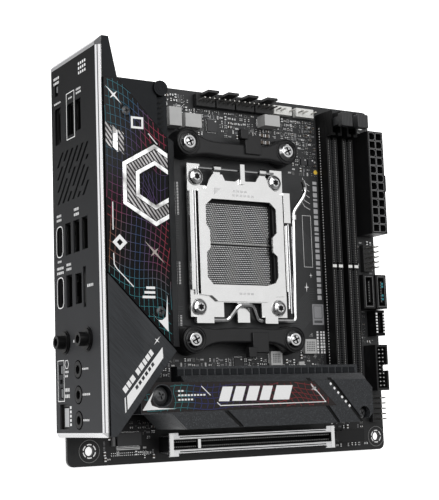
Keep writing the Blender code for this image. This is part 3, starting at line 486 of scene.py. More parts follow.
grained("tin", (0.72, 0.72, 0.72), (0.2, 0.35), 1.0, spread=0.1)
grained("ceramic", (0.075, 0.055, 0.040), (0.5, 0.6))
grained("resistor", (0.010, 0.010, 0.011), (0.35, 0.5))
grained("choke", (0.44, 0.44, 0.435), (0.5, 0.65), grain=4.0, spread=0.08)
grained("etch", (0.56, 0.56, 0.56), (0.3, 0.4), 0.9, grain=4.0)
grained("pad_grey", (0.25, 0.25, 0.245), (0.3, 0.45), 0.6)
grained("finger", (0.92, 0.92, 0.92), (0.25, 0.4), 0.8, spread=0.05)
grained("copper_run", (0.026, 0.027, 0.029), (0.35, 0.5), grain=5.0)
# painted highlight along the edges of the memory slots' rails
grained("rail_highlight", (0.012, 0.012, 0.013), (0.3, 0.4), grain=5.0)
grained("frame_grey", (0.170, 0.170, 0.172), (0.35, 0.5), grain=5.0)
grained("steel_line", (0.62, 0.62, 0.62), (0.25, 0.35), 0.9, spread=0.1)
grained("port_dark", (0.0050, 0.0050, 0.0053), (0.35, 0.5), 0.3, grain=5.0, specular=0.1)
ink("white_ink", (0.80, 0.80, 0.80))
ink("grey_ink", (0.26, 0.26, 0.27), 0.15)
ink("dim_ink", (0.075, 0.077, 0.080), 0.2)
ink("bronze_ink", (0.36, 0.31, 0.29), 0.15)
ink("teal_ink", (0.030, 0.220, 0.260))
ink("yellow_mark", (0.75, 0.50, 0.06))
ink("silk", (0.42, 0.42, 0.43), 0.15)
zoned("pins_header", (0.0085, 0.0085, 0.0090), (0.50, 0.49, 0.46),
      lambda p: p.math("GREATER_THAN", p.z, 2.85))
zoned("pins_light", (0.74, 0.74, 0.72), (0.45, 0.44, 0.42),
      lambda p: p.math("GREATER_THAN", p.z, 3.45))
zoned("pins_fan", (0.0085, 0.0085, 0.0090), (0.45, 0.44, 0.42),
      lambda p: p.math("MULTIPLY", p.math("GREATER_THAN", p.z, 3.55), p.math("LESS_THAN", p.y, 166.0)))
make_world()
make_stage()
make_softbox()

# ---- CAD nodes: paint and width of the softened edges, in millimetres ------------------------------
FINISH = [
    ("board", 0.0, "circuit_board"),
    ("black_coat", 0.2, "socket_backplate"),
    ("black_coat", 0.5, "cooler_bracket_upper cooler_bracket_lower"),
    ("deep_black", 0.12, "antenna_jack_1 antenna_jack_2 audio_jack_block expansion_slot"),
    ("deep_black", 0.18, "memory_slot_1 memory_slot_2"),
    ("screw_coat", 0.05, "cover_screw_1 cover_screw_2"),
    ("screw_coat", 0.08, "drive_screw_1 drive_screw_2"),
    ("black_plastic", 0.1, "bios_switch rear_switches"),
    ("black_plastic", 0.12, "optical_port"),
    ("black_plastic", 0.15, "socket_housing drive_carrier power_socket sata_ports usb3_header"),
    ("black_plastic", 0.25, "slot_latch"),
    ("pins_header", 0.06, "usb2_header front_panel_header"),
    ("pins_fan", 0.08, "fan_headers"),
    ("pins_light", 0.08, "light_header_1 light_header_2"),
    ("nickel", 0.2, "socket_frame"),
    ("nickel", 0.3, "socket_load_plate"),
    ("chrome", 0.0, "load_plate_hinge_wire socket_load_lever"),
    ("chrome", 0.06, "socket_screw_1 socket_screw_2 socket_screw_3 socket_screw_4"),
    ("chrome", 0.06, "cooler_screw_1 cooler_screw_2 cooler_screw_3 cooler_screw_4"),
    ("shield", 0.1, "io_shield"),
    ("port_dark", 0.12, "hdmi_usb_stack usb_port_stack lan_usb_stack usb_c_header"),
    ("steel", 0.15, "wireless_module"),
    ("armour", 0.15, "slot_armour"),
    ("slate_smooth", 0.25, "io_cover"),
    ("slate_smooth", 0.35, "vrm_heatsink"),
    ("slate_brushed", 0.2, "io_cover_trim"),
    ("slate", 0.3, "drive_heatsink"),
    ("slate", 0.25, "drive_heatsink_plate"),
    ("gloss", 0.12, "io_cover_panel"),
    ("silicon", 0.1, "chipset"),
    ("grey_plastic", 0.2, "bios_button flash_button clear_button"),
    ("latch_grey", 0.3, "memory_latch_1 memory_latch_2"),
    ("smoked", 0.12, "optical_shutter"),
]


def round_edges(obj, width):
    """Round the sharp edges a little."""
    bevel = obj.modifiers.new("Edges", "BEVEL")
    bevel.width = width * MM
    bevel.segments = 2
    bevel.limit_method = "ANGLE"
    bevel.angle_limit = SHARP


for paint_name, edge, node_names in FINISH:
    for node_name in node_names.split():
        node = NODES[node_name]
        node.data.materials.clear()
        node.data.materials.append(PAINTS[paint_name].material)
        if edge:
            weld = node.modifiers.new("Weld", "WELD")          # joins the corners that the import split
            weld.merge_threshold = 0.002 * MM
            round_edges(node, edge)


# ---- shapes for added pieces, in board millimetres ------------------------------------------------
class Shape:
    """Closed solids collected into one mesh; each takes the current paint, and the shape's or own heights."""

    def __init__(self, heights=None, axis="Z"):
        self.points, self.faces, self.paints, self.names = [], [], [], []
        self.heights, self.axis = heights, axis

    def paint(self, name):
        if name not in self.names:
            self.names.append(name)
        self.paint_index = self.names.index(name)
        return self

    def add(self, points, faces):
        base = len(self.points)
        self.points += points
        self.faces += [tuple(base + i for i in face) for face in faces]
        self.paints += [self.paint_index] * len(faces)
        return self

    def lay(self, u, v, w):
        """A point of an outline: (x, y) seen along z, (y, z) along x, (x, z) along y."""
        return {"Z": (u, v, w), "X": (w, u, v), "Y": (u, w, v)}[self.axis]

    def prism(self, outline, heights=None, taper=0.0):
        """A flat outline between two heights; taper draws the upper outline in towards its middle."""
        low, high = heights or self.heights
        n = len(outline)
        mid_u, mid_v = [sum(p[i] for p in outline) / n for i in (0, 1)]
        points = [self.lay(u, v, low) for u, v in outline]
        points += [self.lay(mid_u + (u - mid_u) * (1 - taper), mid_v + (v - mid_v) * (1 - taper), high)
                   for u, v in outline]
        faces = [tuple(reversed(range(n))), tuple(range(n, 2 * n))]
        faces += [(i, (i + 1) % n, (i + 1) % n + n, i + n) for i in range(n)]
        return self.add(points, faces)

    def box(self, us, vs, heights=None, taper=0.0):
        (u0, u1), (v0, v1) = sorted(us), sorted(vs)
        return self.prism([(u0, v0), (u1, v0), (u1, v1), (u0, v1)], heights, taper)

    def block(self, centre, half, heights=None, taper=0.0):
        """A box about a centre, with half its size along x and y."""
        (x, y), (a, b) = centre, half
        return self.box((x - a, x + a), (y - b, y + b), heights, taper)

    def disc(self, centre, radius, heights=None, sides=24, taper=0.0):
        return self.prism(ring_points(centre, radius, sides), heights, taper)

    def sweep(self, sections, closed):
        """A solid through a row of four-cornered sections, joined end to end or capped at both ends."""
        count = len(sections)
        faces = []
        for i in range(count if closed else count - 1):
            here, there = 4 * i, 4 * ((i + 1) % count)
            faces += [(here + k, there + k, there + (k + 1) % 4, here + (k + 1) % 4) for k in range(4)]
        if not closed:
            last = 4 * (count - 1)
            faces += [(0, 1, 2, 3), (last + 3, last + 2, last + 1, last)]
        return self.add([point for section in sections for point in section], faces)

    def ring(self, centre, outer, inner, heights=None, sides=28, start=0.0, stop=360.0):
        """A flat ring, or a part of one between two angles in degrees."""
        low, high = heights or self.heights
        whole = stop - start >= 360
        count = sides if whole else max(2, int(sides * (stop - start) / 360)) + 1
        step = (stop - start) / (count if whole else count - 1)
        sections = []
        for i in range(count):
            angle = math.radians(start + step * i)
            along, across = math.cos(angle), math.sin(angle)
            corners = ((outer, low), (outer, high), (inner, high), (inner, low))
            sections.append([self.lay(centre[0] + radius * along, centre[1] + radius * across, height)
                             for radius, height in corners])
        return self.sweep(sections, whole)

    def line(self, path, width, heights=None, closed=False):
        """A thin slab of even width along a path, or a frame round a closed one."""
        low, high = heights or self.heights
        path = [Vector(p) for p in path]
        count = len(path)
        sections = []
        for i, here in enumerate(path):
            before = (here - path[i - 1]).normalized()
            after = (path[(i + 1) % count] - here).normalized()
            if not closed and i == 0:
                before = after
            if not closed and i == count - 1:
                after = before
            along = (before + after).normalized()
            normal = Vector((-along.y, along.x))
            reach = width / 2 / max(0.5, abs(normal.dot(Vector((-after.y, after.x)))))
            left, right = here + normal * reach, here - normal * reach
            sections.append([self.lay(*left, low), self.lay(*left, high), self.lay(*right, high),
                             self.lay(*right, low)])
        return self.sweep(sections, closed)

    def frame(self, us, vs, width, heights=None):
        """A thin rectangular frame."""
        (u0, u1), (v0, v1) = us, vs
        return self.line([(u0, v0), (u1, v0), (u1, v1), (u0, v1)], width, heights, closed=True)

    def line_inside(self, path, inside, width, heights=None):
        """The stretches of a line whose points lie inside an area."""
        run = []
        for point in path + [None]:
            if point and inside(*point):
                run.append(point)
                continue
            if len(run) > 1:
                self.line(run, width, heights)
            run = []

    def cross(self, centre, turn, reach, half, heights):
        """Two crossed bars, turned by a number of degrees."""
        for angle in (math.radians(turn), math.radians(turn + 90)):
            along = Vector((math.cos(angle), math.sin(angle))) * reach
            across = Vector((-math.sin(angle), math.cos(angle))) * half
            corners = ((-1, -1), (1, -1), (1, 1), (-1, 1))
            self.prism([tuple(Vector(centre) + along * u + across * v) for u, v in corners], heights)

    def star(self, centre, long_arm, short_arm, turn):
        """A four-pointed sparkle; its arms are long one way and short the other."""
        waist = min(long_arm, short_arm) * 0.256
        tips = []
        for i, arm in enumerate((long_arm, waist, short_arm, waist) * 2):
            angle = math.radians(turn + 45 * i)
            tips.append((centre[0] + arm * math.cos(angle), centre[1] + arm * math.sin(angle)))
        return self.prism(tips)

    def make(self, name, slot, body="board", edge=0.0, smooth=False):
        mesh = bpy.data.meshes.new(name)
        mesh.from_pydata([at(*p) for p in self.points], [], self.faces)
        shape = bmesh.new()
        shape.from_mesh(mesh)
        for face, index in zip(shape.faces, self.paints):
            face.material_index = index
        bmesh.ops.recalc_face_normals(shape, faces=shape.faces)
        shape.to_mesh(mesh)
        shape.free()
        for paint_name in self.names:
            mesh.materials.append(PAINTS[paint_name].material)
        obj = bpy.data.objects.new(name, mesh)
        bpy.context.scene.collection.objects.link(obj)
        if smooth:
            mesh.shade_smooth()
            mesh.set_sharp_from_angle(angle=SHARP)
        if edge:
            round_edges(obj, edge)
        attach(obj, body)
        return obj

    def make_curved(self, name, node, edge):
        """A smooth piece with widely rounded edges that stands for a CAD node."""
        obj = self.make(name, slot="black_coating", edge=edge, smooth=True)
        obj.modifiers["Edges"].segments = 4
        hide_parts(node)


def arc(centre, radius, start, stop, parts):
    """Points along an arc between two angles in degrees, both ends included."""
    angles = [math.radians(start + (stop - start) * i / parts) for i in range(parts + 1)]
    return [(centre[0] + radius * math.cos(a), centre[1] + radius * math.sin(a)) for a in angles]


def ring_points(centre, radius, sides, start=0.0):
    return arc(centre, radius, start, start + 360, sides)[:-1]


def spread(start, stop, pitch):
    """Evenly spaced places from start to stop."""
    count = max(1, round((stop - start) / pitch))
    return [start + (stop - start) * i / count for i in range(count + 1)]


def paced(start, stop, pitch):
    """Places from start to before stop, exactly one pitch apart."""
    return [start + pitch * i for i in range(math.ceil((stop - start) / pitch))]


def within(outline, x, y, inset):
    """True if a point is inside a convex outline that runs anticlockwise, at least inset from its sides."""
    for (ax, ay), (bx, by) in zip(outline, outline[1:] + outline[:1]):
        length = math.hypot(bx - ax, by - ay)
        if ((bx - ax) * (y - ay) - (by - ay) * (x - ax)) / length < inset:
            return False
    return True


def bell(value, middle, size):
    """A bell curve of height 1 about a middle."""
    return math.exp(-((value - middle) / size) ** 2)


# ---- printed art on the rear cover ----------------------------------------------------------------
PANEL_TOP = span("io_cover_panel")[1].z
INK = (PANEL_TOP - SINK, PANEL_TOP + PRINT)
PANEL_OUTLINE = [(0.4, 78.0), (29.4, 48.6), (29.2, 135.4), (7.2, 158.3), (0.4, 158.3)]
EMBLEM = (23.0, 114.6)                                         # centre of the hexagon frames
EMBLEM_BANDS = ((17.2, 15.2, "foil", 0.06), (14.9, 10.6, "hatched", 0.02), (10.3, 8.4, "foil", 0.06))


def hexagon_radius(x, y):
    """Corner radius of the emblem's hexagon that passes through a point."""
    dx, dy = x - EMBLEM[0], y - EMBLEM[1]
    reach = max(abs(dx * math.cos(a) + dy * math.sin(a)) for a in (0, math.pi / 3, -math.pi / 3))
    return reach / math.cos(math.pi / 6)


def make_grid():
    """Wire grid of a rolling surface with a well sunk into it, clipped to the panel."""
    shape = Shape(INK).paint("grid_ink")
    lower_ink = (INK[0], INK[1] - 0.01)
    width, step = 0.19, 1.2

    def warp(x, y):
        well = bell(x, 22.5, 6.5) * bell(y, 129, 9.0)
        swell = bell(x, 30, 10.0) * bell(y, 84, 16.0)
        u = x + 1.3 * math.sin(0.055 * y + 0.8) + 2.0 * well * (22 - x) / 6.5 - 1.6 * swell
        v = y - 0.50 * x + 1.6 * math.sin(0.19 * x + 0.04 * y) - 12.0 * well + 5.0 * swell
        return u, v

    def drawn(x, y):
        covered = EMBLEM_BANDS[-1][1] < hexagon_radius(x, y) < EMBLEM_BANDS[0][0]
        return within(PANEL_OUTLINE, x, y, 0.25) and not covered

    for i in range(-2, 16):
        path = [warp(i * 2.25, 40 + step * k) for k in range(110)]
        shape.line_inside(path, drawn, width, lower_ink)
    for j in range(44):
        path = [warp(-3 + step * k, 42 + 3.4 * j) for k in range(32)]
        shape.line_inside(path, drawn, width)
    shape.make("panel_grid_print", slot="gloss_panel")


def clipped(outline, limit):
    """The part of a convex outline left of x = limit, as a path that starts and ends on that line."""
    first = next(i for i, p in enumerate(outline) if outline[i - 1][0] > limit >= p[0])
    turned = outline[first - 1:] + outline[:first - 1]
    kept = [p for p in turned if p[0] <= limit]

    def crossing(a, b):
        return (limit, a[1] + (b[1] - a[1]) * (limit - a[0]) / (b[0] - a[0]))

    return [crossing(turned[0], kept[0])] + kept + [crossing(kept[-1], turned[(len(kept) + 1) % len(turned)])]


def make_emblem():
    """Nested hexagon frames, cut off by the panel's edge, with slanted bars beside them."""
    shape = Shape(INK)
    for outer, inner, paint_name, rise in EMBLEM_BANDS:
        outside, inside = [clipped(ring_points(EMBLEM, r, 6, 30), 29.1) for r in (outer, inner)]
        shape.paint(paint_name).prism(outside + inside[::-1], (INK[0], INK[1] + rise))
    bars = (("hatched", 0.8, 3.6, 128.6), ("foil", 4.0, 6.2, 127.2), ("hatched", 6.6, 9.0, 126.2))
    for paint_name, left, right, foot in bars:
        outline = [(left, foot + 2.0), (right, foot), (right, foot + 9.0), (left, foot + 11.0)]
        shape.paint(paint_name).prism(outline)
    shape.make("panel_emblem_print", slot="gloss_panel", edge=0.03)


def make_panel_marks():
    """Stars, a diamond, a square frame, strokes and plain blocks over the grid."""
    top = INK[1] + 0.04
    shape = Shape((INK[0], top)).paint("white_ink")
    shape.star((4.7, 151.0), 5.2, 2.3, -45)
    shape.frame((12.9, 17.7), (138.2, 142.3), 0.9)
    shape.line([(20.3, 136.2), (24.4, 131.9)], 0.35)
    shape.line([(3.3, 106.5), (3.2, 95.1)], 0.4)
    shape.prism(ring_points((6.1, 90.1), 3.3, 4))
    shape.line([(3.2, 85.6), (3.4, 81.1), (4.6, 79.3), (11.9, 72.2)], 0.4)
    for i in range(3):
        y = 68.2 + 1.9 * i
        shape.box((15.8 + 0.9 * i, 21.6), (y - 0.5, y + 0.5))
    shape.prism([(19.8, 61.8), (22.6, 58.9), (24.6, 58.9), (26.3, 60.3), (27.2, 69.2), (27.3, 54.2)])
    shape.paint("bronze_ink").star((21.9, 86.7), 6.6, 2.6, -45)
    shape.paint("gloss").prism(ring_points((6.1, 90.1), 1.4, 4), (top - 0.02, top + 0.02))
    shape.make("panel_marks_print", slot="gloss_panel")


def make_trim_marks():
    """A row of slanted dashes and a plain white block along the trim's lower edge."""
    shape = Shape(INK).paint("white_ink")
    along = (Vector((24.4, 45.8)) - Vector((7.8, 25.9))).normalized()
    across = Vector((-along.y, along.x))
    corner = Vector((7.7, 28.6))

    def patch(start, stop, low, high, lean):
        corners = [(start, low), (stop, low), (stop + lean, high), (start + lean, high)]
        return [tuple(corner + along * a + across * b) for a, b in corners]

    shape.prism([(7.9, 23.1), (24.5, 43.6), (24.3, 47.9), (7.7, 28.6)])
    dashes = ((0.4, 2.2), (3.1, 1.8), (5.4, 2.4), (9.5, 1.9), (11.9, 2.2), (14.6, 1.6), (16.7, 2.0),
              (19.2, 1.7))
    for start, width in dashes:
        shape.prism(patch(start, start + width, 1.1, 3.3, 0.5))
    shape.star((21.9, 50.6), 2.3, 1.3, 50)
    shape.prism([(6.6, 27.8), (7.1, 28.2), (7.3, 22.4), (6.8, 22.0)])
    shape.paint("slate_brushed")
    for i in range(6):
        start = 4.6 + i * 2.3
        shape.prism(patch(start, start + 1.5, -1.9, -0.6, 0.4), (INK[1] - 0.02, INK[1] + 0.03))
    shape.make("trim_marks_print", slot="slate_aluminium")


make_grid()
make_emblem()
make_panel_marks()
make_trim_marks()

# ---- drive heatsink: glossy strip with its print ---------------------------------------------------
TOWER_TOP = span("drive_heatsink_plate")[1].z
STRIP_TOP = TOWER_TOP + 0.1
STRIP_OUTLINE = [(17.3, 22.1), (24.0, 21.4), (115.2, 22.1), (103.4, 33.2), (17.3, 33.7)]
DRIVE_SCREW = (27.0, 28.4)


def make_strip():
    """The strip in two halves that leave a round hole for the drive screw."""
    x = DRIVE_SCREW[0]
    shape = Shape((TOWER_TOP - SINK, TOWER_TOP + 0.12)).paint("brown_gloss")
    left = [(17.3, 21.6), (x, 21.6)] + arc(DRIVE_SCREW, 4.9, -90, -270, 16) + [(x, 33.9), (17.3, 33.9)]
    right = [(x, 21.6), (115.4, 22.1), (103.6, 33.3), (x, 33.9)] + arc(DRIVE_SCREW, 4.9, 90, -90, 16)
    shape.prism(left)
    shape.prism(right)
    shape.make("drive_heatsink_strip", slot="gloss_panel", edge=0.04)


def make_strip_grid():
    """A wavy grid over the strip, folded near its right end."""
    shape = Shape((STRIP_TOP, STRIP_TOP + 0.06)).paint("strip_ink")

    def drawn(x, y):
        return within(STRIP_OUTLINE, x, y, 0.4) and math.hypot(x - DRIVE_SCREW[0], y - DRIVE_SCREW[1]) > 5.2

    def warp(x, y):
        fold = bell(x, 88, 16)
        u = x + 0.5 * math.sin(0.8 * y) - fold * (y - 27)
        v = y + 0.55 * math.sin(0.22 * x) * (1 + fold)
        return u, v

    for i in range(40):
        shape.line_inside([warp(14 + 3.1 * i, 20 + 0.7 * k) for k in range(22)], drawn, 0.22)
    for j in range(5):
        shape.line_inside([warp(14 + 1.5 * k, 22.8 + 2.3 * j) for k in range(72)], drawn, 0.22)
    shape.make("strip_grid_print", slot="gloss_panel")


def make_strip_marks():
    """Five slanted blocks, thin strokes, two stars and rows of short dashes."""
    shape = Shape((STRIP_TOP, STRIP_TOP + 0.1)).paint("white_ink")
    lean = 2.2
    for start, width in ((53.7, 5.2), (60.4, 5.0), (67.2, 5.4), (74.2, 5.0), (81.2, 8.4)):
        stop = start + width
        shape.prism([(start, 25.5), (stop, 25.4), (stop + lean, 31.5), (start + lean, 31.6)])
    shape.line([(45.5, 32.0), (49.8, 28.1)], 0.35)
    shape.line([(53.0, 25.0), (54.6, 23.7), (109.4, 23.9), (106.4, 27.2)], 0.38)
    shape.line([(101.7, 31.9), (106.4, 27.2)], 0.3)
    shape.star((103.2, 29.9), 2.4, 1.1, 135)
    shape.star((103.2, 29.9), 1.6, 1.0, 20)
    shape.prism([(17.6, 22.7), (33.4, 23.0), (25.2, 23.5), (21.9, 24.6), (21.3, 26.4), (22.9, 30.2)])
    for y, stop in ((30.2, 36.6), (28.4, 47.4), (26.6, 40.6)):
        for x in paced(34.3, stop, 1.5):
            shape.box((x, x + 1.0), (y - 0.35, y + 0.35))
    shape.make("strip_marks_print", slot="gloss_panel")


def make_plate_dashes():
    """Six slanted dashes beside the strip's right end."""
    shape = Shape((TOWER_TOP - SINK, TOWER_TOP + PRINT)).paint("white_ink")
    for i in range(6):
        x, y = 111.9 + 2.0 * i, 31.8 - 2.0 * i
        shape.prism([(x, y), (x + 0.8, y - 0.8), (x + 1.5, y - 0.1), (x + 0.7, y + 0.7)])
    shape.make("heatsink_plate_marks_print", slot="slate_aluminium")


def make_groove_shade():
    """Painted shade: dark slabs on the floors of the drive heatsink plate's slanting grooves."""
    shape = Shape((TOWER_TOP - 0.72, TOWER_TOP - 0.5)).paint("deep_black")
    half = 1.0
    for (x0, y0), (x1, y1) in (((117.2, 14.6), (100.6, 34.6)), ((129.6, 14.6), (112.2, 34.6)),
                               ((65.0, 14.6), (57.8, 21.2))):
        shape.prism([(x0 - half, y0), (x0 + half, y0), (x1 + half, y1), (x1 - half, y1)])
    shape.make("heatsink_groove_shade", slot="slate_aluminium")


def make_ledge_ribs():
    """Row of low wide ribs along the drive heatsink's ledge, with thin gaps between them."""
    ledge, pitch = 27.6, 3.78
    shape = Shape((ledge - 0.1, ledge + 0.3)).paint("slate_smooth")
    for i in range(25):
        x = 38.6 + pitch * i
        shape.box((x, x + 2.9), (36.8, 39.5), taper=0.03)
    shape.make("heatsink_ledge_ribs", slot="slate_aluminium", edge=0.06)


make_strip()
make_strip_grid()
make_strip_marks()
make_plate_dashes()
make_groove_shade()
make_ledge_ribs()


# ---- processor socket -----------------------------------------------------------------------------
def make_contact_field():
    """Sprung contact fingers of the processor socket, in two halves about a bare middle bar."""
    low, high = span("socket_housing")
    cx, cy = (low.x + high.x) / 2, (low.y + high.y) / 2
    floor, pitch = 1.3, 0.94
    tip = ((-0.31, -0.25), (0.08, -0.29), (0.33, 0.22), (-0.04, 0.28))
    field = Shape((floor - 0.02, floor + 0.36)).paint("finger")
    rows = int(39.0 / pitch)
    for i in range(rows):
        for j in range(rows):
            x = cx - 19.2 + pitch * (i + 0.5 * (j % 2))
            y = cy - 19.2 + pitch * j
            if abs(y - cy) < 0.5 or abs(x - cx) > 19.4:
                continue
            field.prism([(x + u, y + v) for u, v in tip], taper=0.2)
    field.make("socket_contacts", slot="polished_steel")
    bar = Shape().paint("pad_grey").block((cx, cy), (19.8, 0.25), (floor - 0.05, floor + 0.55))
    bar.make("socket_middle_bar", slot="grey_plastic", edge=0.05)


def make_plate_marks():
    """Faint pin-one triangle and dashes on the load plate."""
    plate_top = 5.4
    shape = Shape((plate_top - SINK, plate_top + 0.02)).paint("etch")
    shape.prism([(73.2, 120.2), (77.0, 123.6), (73.2, 123.6)])
    for y, start, stop in ((122.6, 83.4, 90.6), (120.6, 83.0, 95.4), (74.6, 85.2, 91.8)):
        for x in paced(start, stop, 2.1):
            shape.box((x, x + 1.5), (y - 0.5, y + 0.5))
    shape.make("load_plate_marks", body="load_plate", slot="nickel_steel")


make_contact_field()
make_plate_marks()

# ---- board surface: parts, printed marks and solder -----------------------------------------------
COOLER_SCREWS = [(58.9, 53.3), (112.9, 53.3), (58.9, 143.3), (112.9, 143.3)]
MOUNT_HOLES = [(10.16, 6.35), (165.1, 6.35), (165.1, 163.83), (33.02, 163.83)]
# chokes and chips: sides along x, along y, and height
CHOKES = [((50.0, 56.5), (150.7, 159.5), 7.0), ((58.3, 67.0), (150.8, 157.3), 7.0),
          ((102.0, 110.8), (155.5, 161.0), 7.0), ((103.5, 110.0), (41.7, 48.3), 2.0),
          ((123.3, 130.2), (47.0, 54.0), 2.0), ((119.8, 122.9), (40.3, 43.3), 1.6)]
CHIPS = [((73.6, 79.0), (151.2, 157.2), 1.0), ((43.4, 48.0), (157.6, 162.4), 0.9),
         ((126.2, 129.6), (139.2, 142.8), 1.5), ((130.6, 134.0), (139.2, 142.8), 1.5),
         ((84.0, 88.6), (41.0, 45.6), 0.9), ((94.6, 97.4), (38.2, 41.2), 0.8),
         ((154.4, 158.0), (60.0, 63.6), 0.9), ((155.0, 158.6), (36.5, 40.5), 0.9),
         ((42.0, 47.2), (66.0, 71.0), 0.9), ((153.6, 157.6), (92.0, 97.2), 0.9),
         ((6.0, 11.0), (14.0, 18.6), 0.9), ((22.4, 34.2), (7.8, 13.6), 2.1)]
# areas of small parts: sides along x, along y, and the share of places that are filled
PART_ZONES = [((40.0, 136.0), (149.0, 162.0), 0.86), ((36.5, 66.0), (157.0, 168.8), 0.80),
              ((119.0, 137.0), (134.0, 168.0), 0.90), ((108.0, 136.6), (36.0, 59.0), 0.82),
              ((40.0, 108.0), (37.0, 47.5), 0.95), ((153.4, 169.2), (28.0, 105.0), 0.85),
              ((152.8, 158.6), (100.0, 168.0), 0.60), ((14.0, 42.0), (1.6, 20.0), 0.55),
              ((138.0, 160.0), (2.0, 16.0), 0.55), ((36.6, 54.0), (54.0, 140.0), 0.34),
              ((1.0, 8.0), (9.0, 13.0), 0.4)]
OVER_BOARD = {"circuit_board", "socket_backplate", "socket_load_lever", "cooler_bracket_upper",
              "cooler_bracket_lower", "io_cover", "io_cover_panel", "io_cover_trim", "io_shield",
              "cooler_screw_1", "cooler_screw_2", "cooler_screw_3", "cooler_screw_4"}
rng = random.Random(20)


def solid_places():
    """Board rectangles that a CAD piece or a large added part stands on."""
    spans = [span(name) for name in NODES if name not in OVER_BOARD]
    places = [(low.x, low.y, high.x, high.y) for low, high in spans if low.z < 4.0 and high.z > 0.0]
    for holes, reach in ((COOLER_SCREWS, 6.9), (MOUNT_HOLES, 5.8)):
        places += [(x - reach, y - reach, x + reach, y + reach) for x, y in holes]
    return places + [(x0, y0, x1, y1) for (x0, x1), (y0, y1), top in CHOKES + CHIPS]


PLACES = solid_places()


def is_free(x, y, reach):
    if not (reach + 0.6 < x < 169.4 - reach and reach + 0.6 < y < 169.4 - reach):
        return False
    return not any(x0 - reach < x < x1 + reach and y0 - reach < y < y1 + reach for x0, y0, x1, y1 in PLACES)


def turned(x, y, us, vs, upright):
    """Two ranges about a point, swapped for an upright part."""
    if upright:
        us, vs = vs, us
    return (x + us[0], x + us[1]), (y + vs[0], y + vs[1])


def chip_part(shape, x, y, length, width, height, upright, body):
    """A ceramic chip with a bright solder end on each side."""
    half, cap, reach = length / 2, length * 0.24, width / 2
    for side in (-1, 1):
        ends = (side * (half + 0.12), side * (half - cap))
        us, vs = turned(x, y, ends, (-reach - 0.05, reach + 0.05), upright)
        shape.paint("tin").box(us, vs, (-SINK, height * 0.75))
    us, vs = turned(x, y, (cap - half, half - cap), (-reach, reach), upright)
    shape.paint(body).box(us, vs, (-SINK, height))


def make_small_parts():
    """Rows of chip capacitors and resistors, via dots and tiny silk dashes over the free board."""
    parts, dots = Shape(), Shape((-SINK, 0.035))
    pitch = 2.15
    for (x0, x1), (y0, y1), density in PART_ZONES:
        for i in range(int((x1 - x0) / pitch)):
            for j in range(int((y1 - y0) / pitch)):
                x = x0 + pitch * (i + 0.5) + rng.uniform(-0.25, 0.25)
                y = y0 + pitch * (j + 0.5) + rng.uniform(-0.25, 0.25)
                kind, upright = rng.random(), rng.random() < 0.5
                tone = rng.random()
                if rng.random() > density or not is_free(x, y, 0.95):
                    continue
                if kind < 0.30:
                    body = "ceramic" if tone < 0.45 else "resistor"
                    chip_part(parts, x, y, 1.05, 0.55, 0.45, upright, body)
                elif kind < 0.42:
                    body = "ceramic" if tone < 0.6 else "grey_plastic"
                    chip_part(parts, x, y, 1.55, 0.85, 0.75, upright, body)
                elif kind < 0.55:
                    for side in (-0.5, 0.5):
                        u, v = (x + side, y) if upright else (x, y + side)
                        chip_part(parts, u, v, 0.8, 0.4, 0.35, upright, "resistor")
                elif kind < 0.80:
                    dots.paint("pad_grey" if tone < 0.6 else "tin")
                    for a in (-0.62, 0.0, 0.62):
                        for b in (-0.62, 0.0, 0.62):
                            if rng.random() < 0.6:
                                dots.block((x + a, y + b), (0.15, 0.15))
                else:
                    dots.paint("white_ink" if tone < 0.5 else "grey_ink")
                    for a in (-0.6, 0.0, 0.6):
                        us, vs = turned(x, y, (a - 0.16, a + 0.16), (-0.4, 0.4), upright)
                        dots.box(us, vs)
    parts.make("board_chip_parts", slot="board")
    dots.make("board_pads_print", slot="board")


def make_chokes():
    """Ferrite bodies on flat leads; the low wide ones carry a field of faint dots."""
    chokes = Shape()
    for (x0, x1), (y0, y1), top in CHOKES:
        chokes.paint("choke").box((x0, x1), (y0, y1), (0.35, top), taper=0.015)
        chokes.paint("tin").box((x0 - 0.35, x1 + 0.35), (y0 + 1.0, y1 - 1.0), (-SINK, 0.4))
        if top < 3.0 and x1 - x0 > 5:
            chokes.paint("dim_ink")
            for u in spread(x0 + 1.5, x1 - 1.5, 1.0):
                for v in spread(y0 + 1.5, y1 - 1.5, 1.0):
                    chokes.block((u, v), (0.3, 0.3), (top - SINK, top + 0.03))
    chokes.make("board_chokes", slot="board", edge=0.16)


def make_chips():
    """Square chips with leads on four sides, and a connector with its pads in the lower left corner."""
    chips = Shape()
    for (x0, x1), (y0, y1), top in CHIPS:
        chips.paint("silicon").box((x0, x1), (y0, y1), (0.1, top), taper=0.02)
        chips.paint("tin")
        for v in spread(y0 + 0.5, y1 - 0.5, 0.62):
            chips.box((x0 - 0.35, x1 + 0.35), (v - 0.14, v + 0.14), (-SINK, 0.16))
        for u in spread(x0 + 0.5, x1 - 0.5, 0.62):
            chips.box((u - 0.14, u + 0.14), (y0 - 0.35, y1 + 0.35), (-SINK, 0.14))
        if top < 2.0:
            chips.paint("white_ink").disc((x1 - 0.95, y1 - 0.95), 0.36, (top - SINK, top + 0.03), sides=12)
    chips.paint("etch").box((22.6, 34.0), (6.2, 6.6), (-SINK, 0.8))
    chips.box((22.6, 34.0), (6.9, 7.25), (-SINK, 0.8))
    chips.paint("frame_grey").box((20.4, 21.7), (8.0, 13.4), (-SINK, 1.6))
    chips.paint("tin")
    for u in spread(20.6, 38.6, 1.0):
        for v in (3.9, 4.9):
            chips.block((u, v), (0.2, 0.2), (-SINK, 0.05))
    chips.make("board_chips", slot="silicon", edge=0.05)


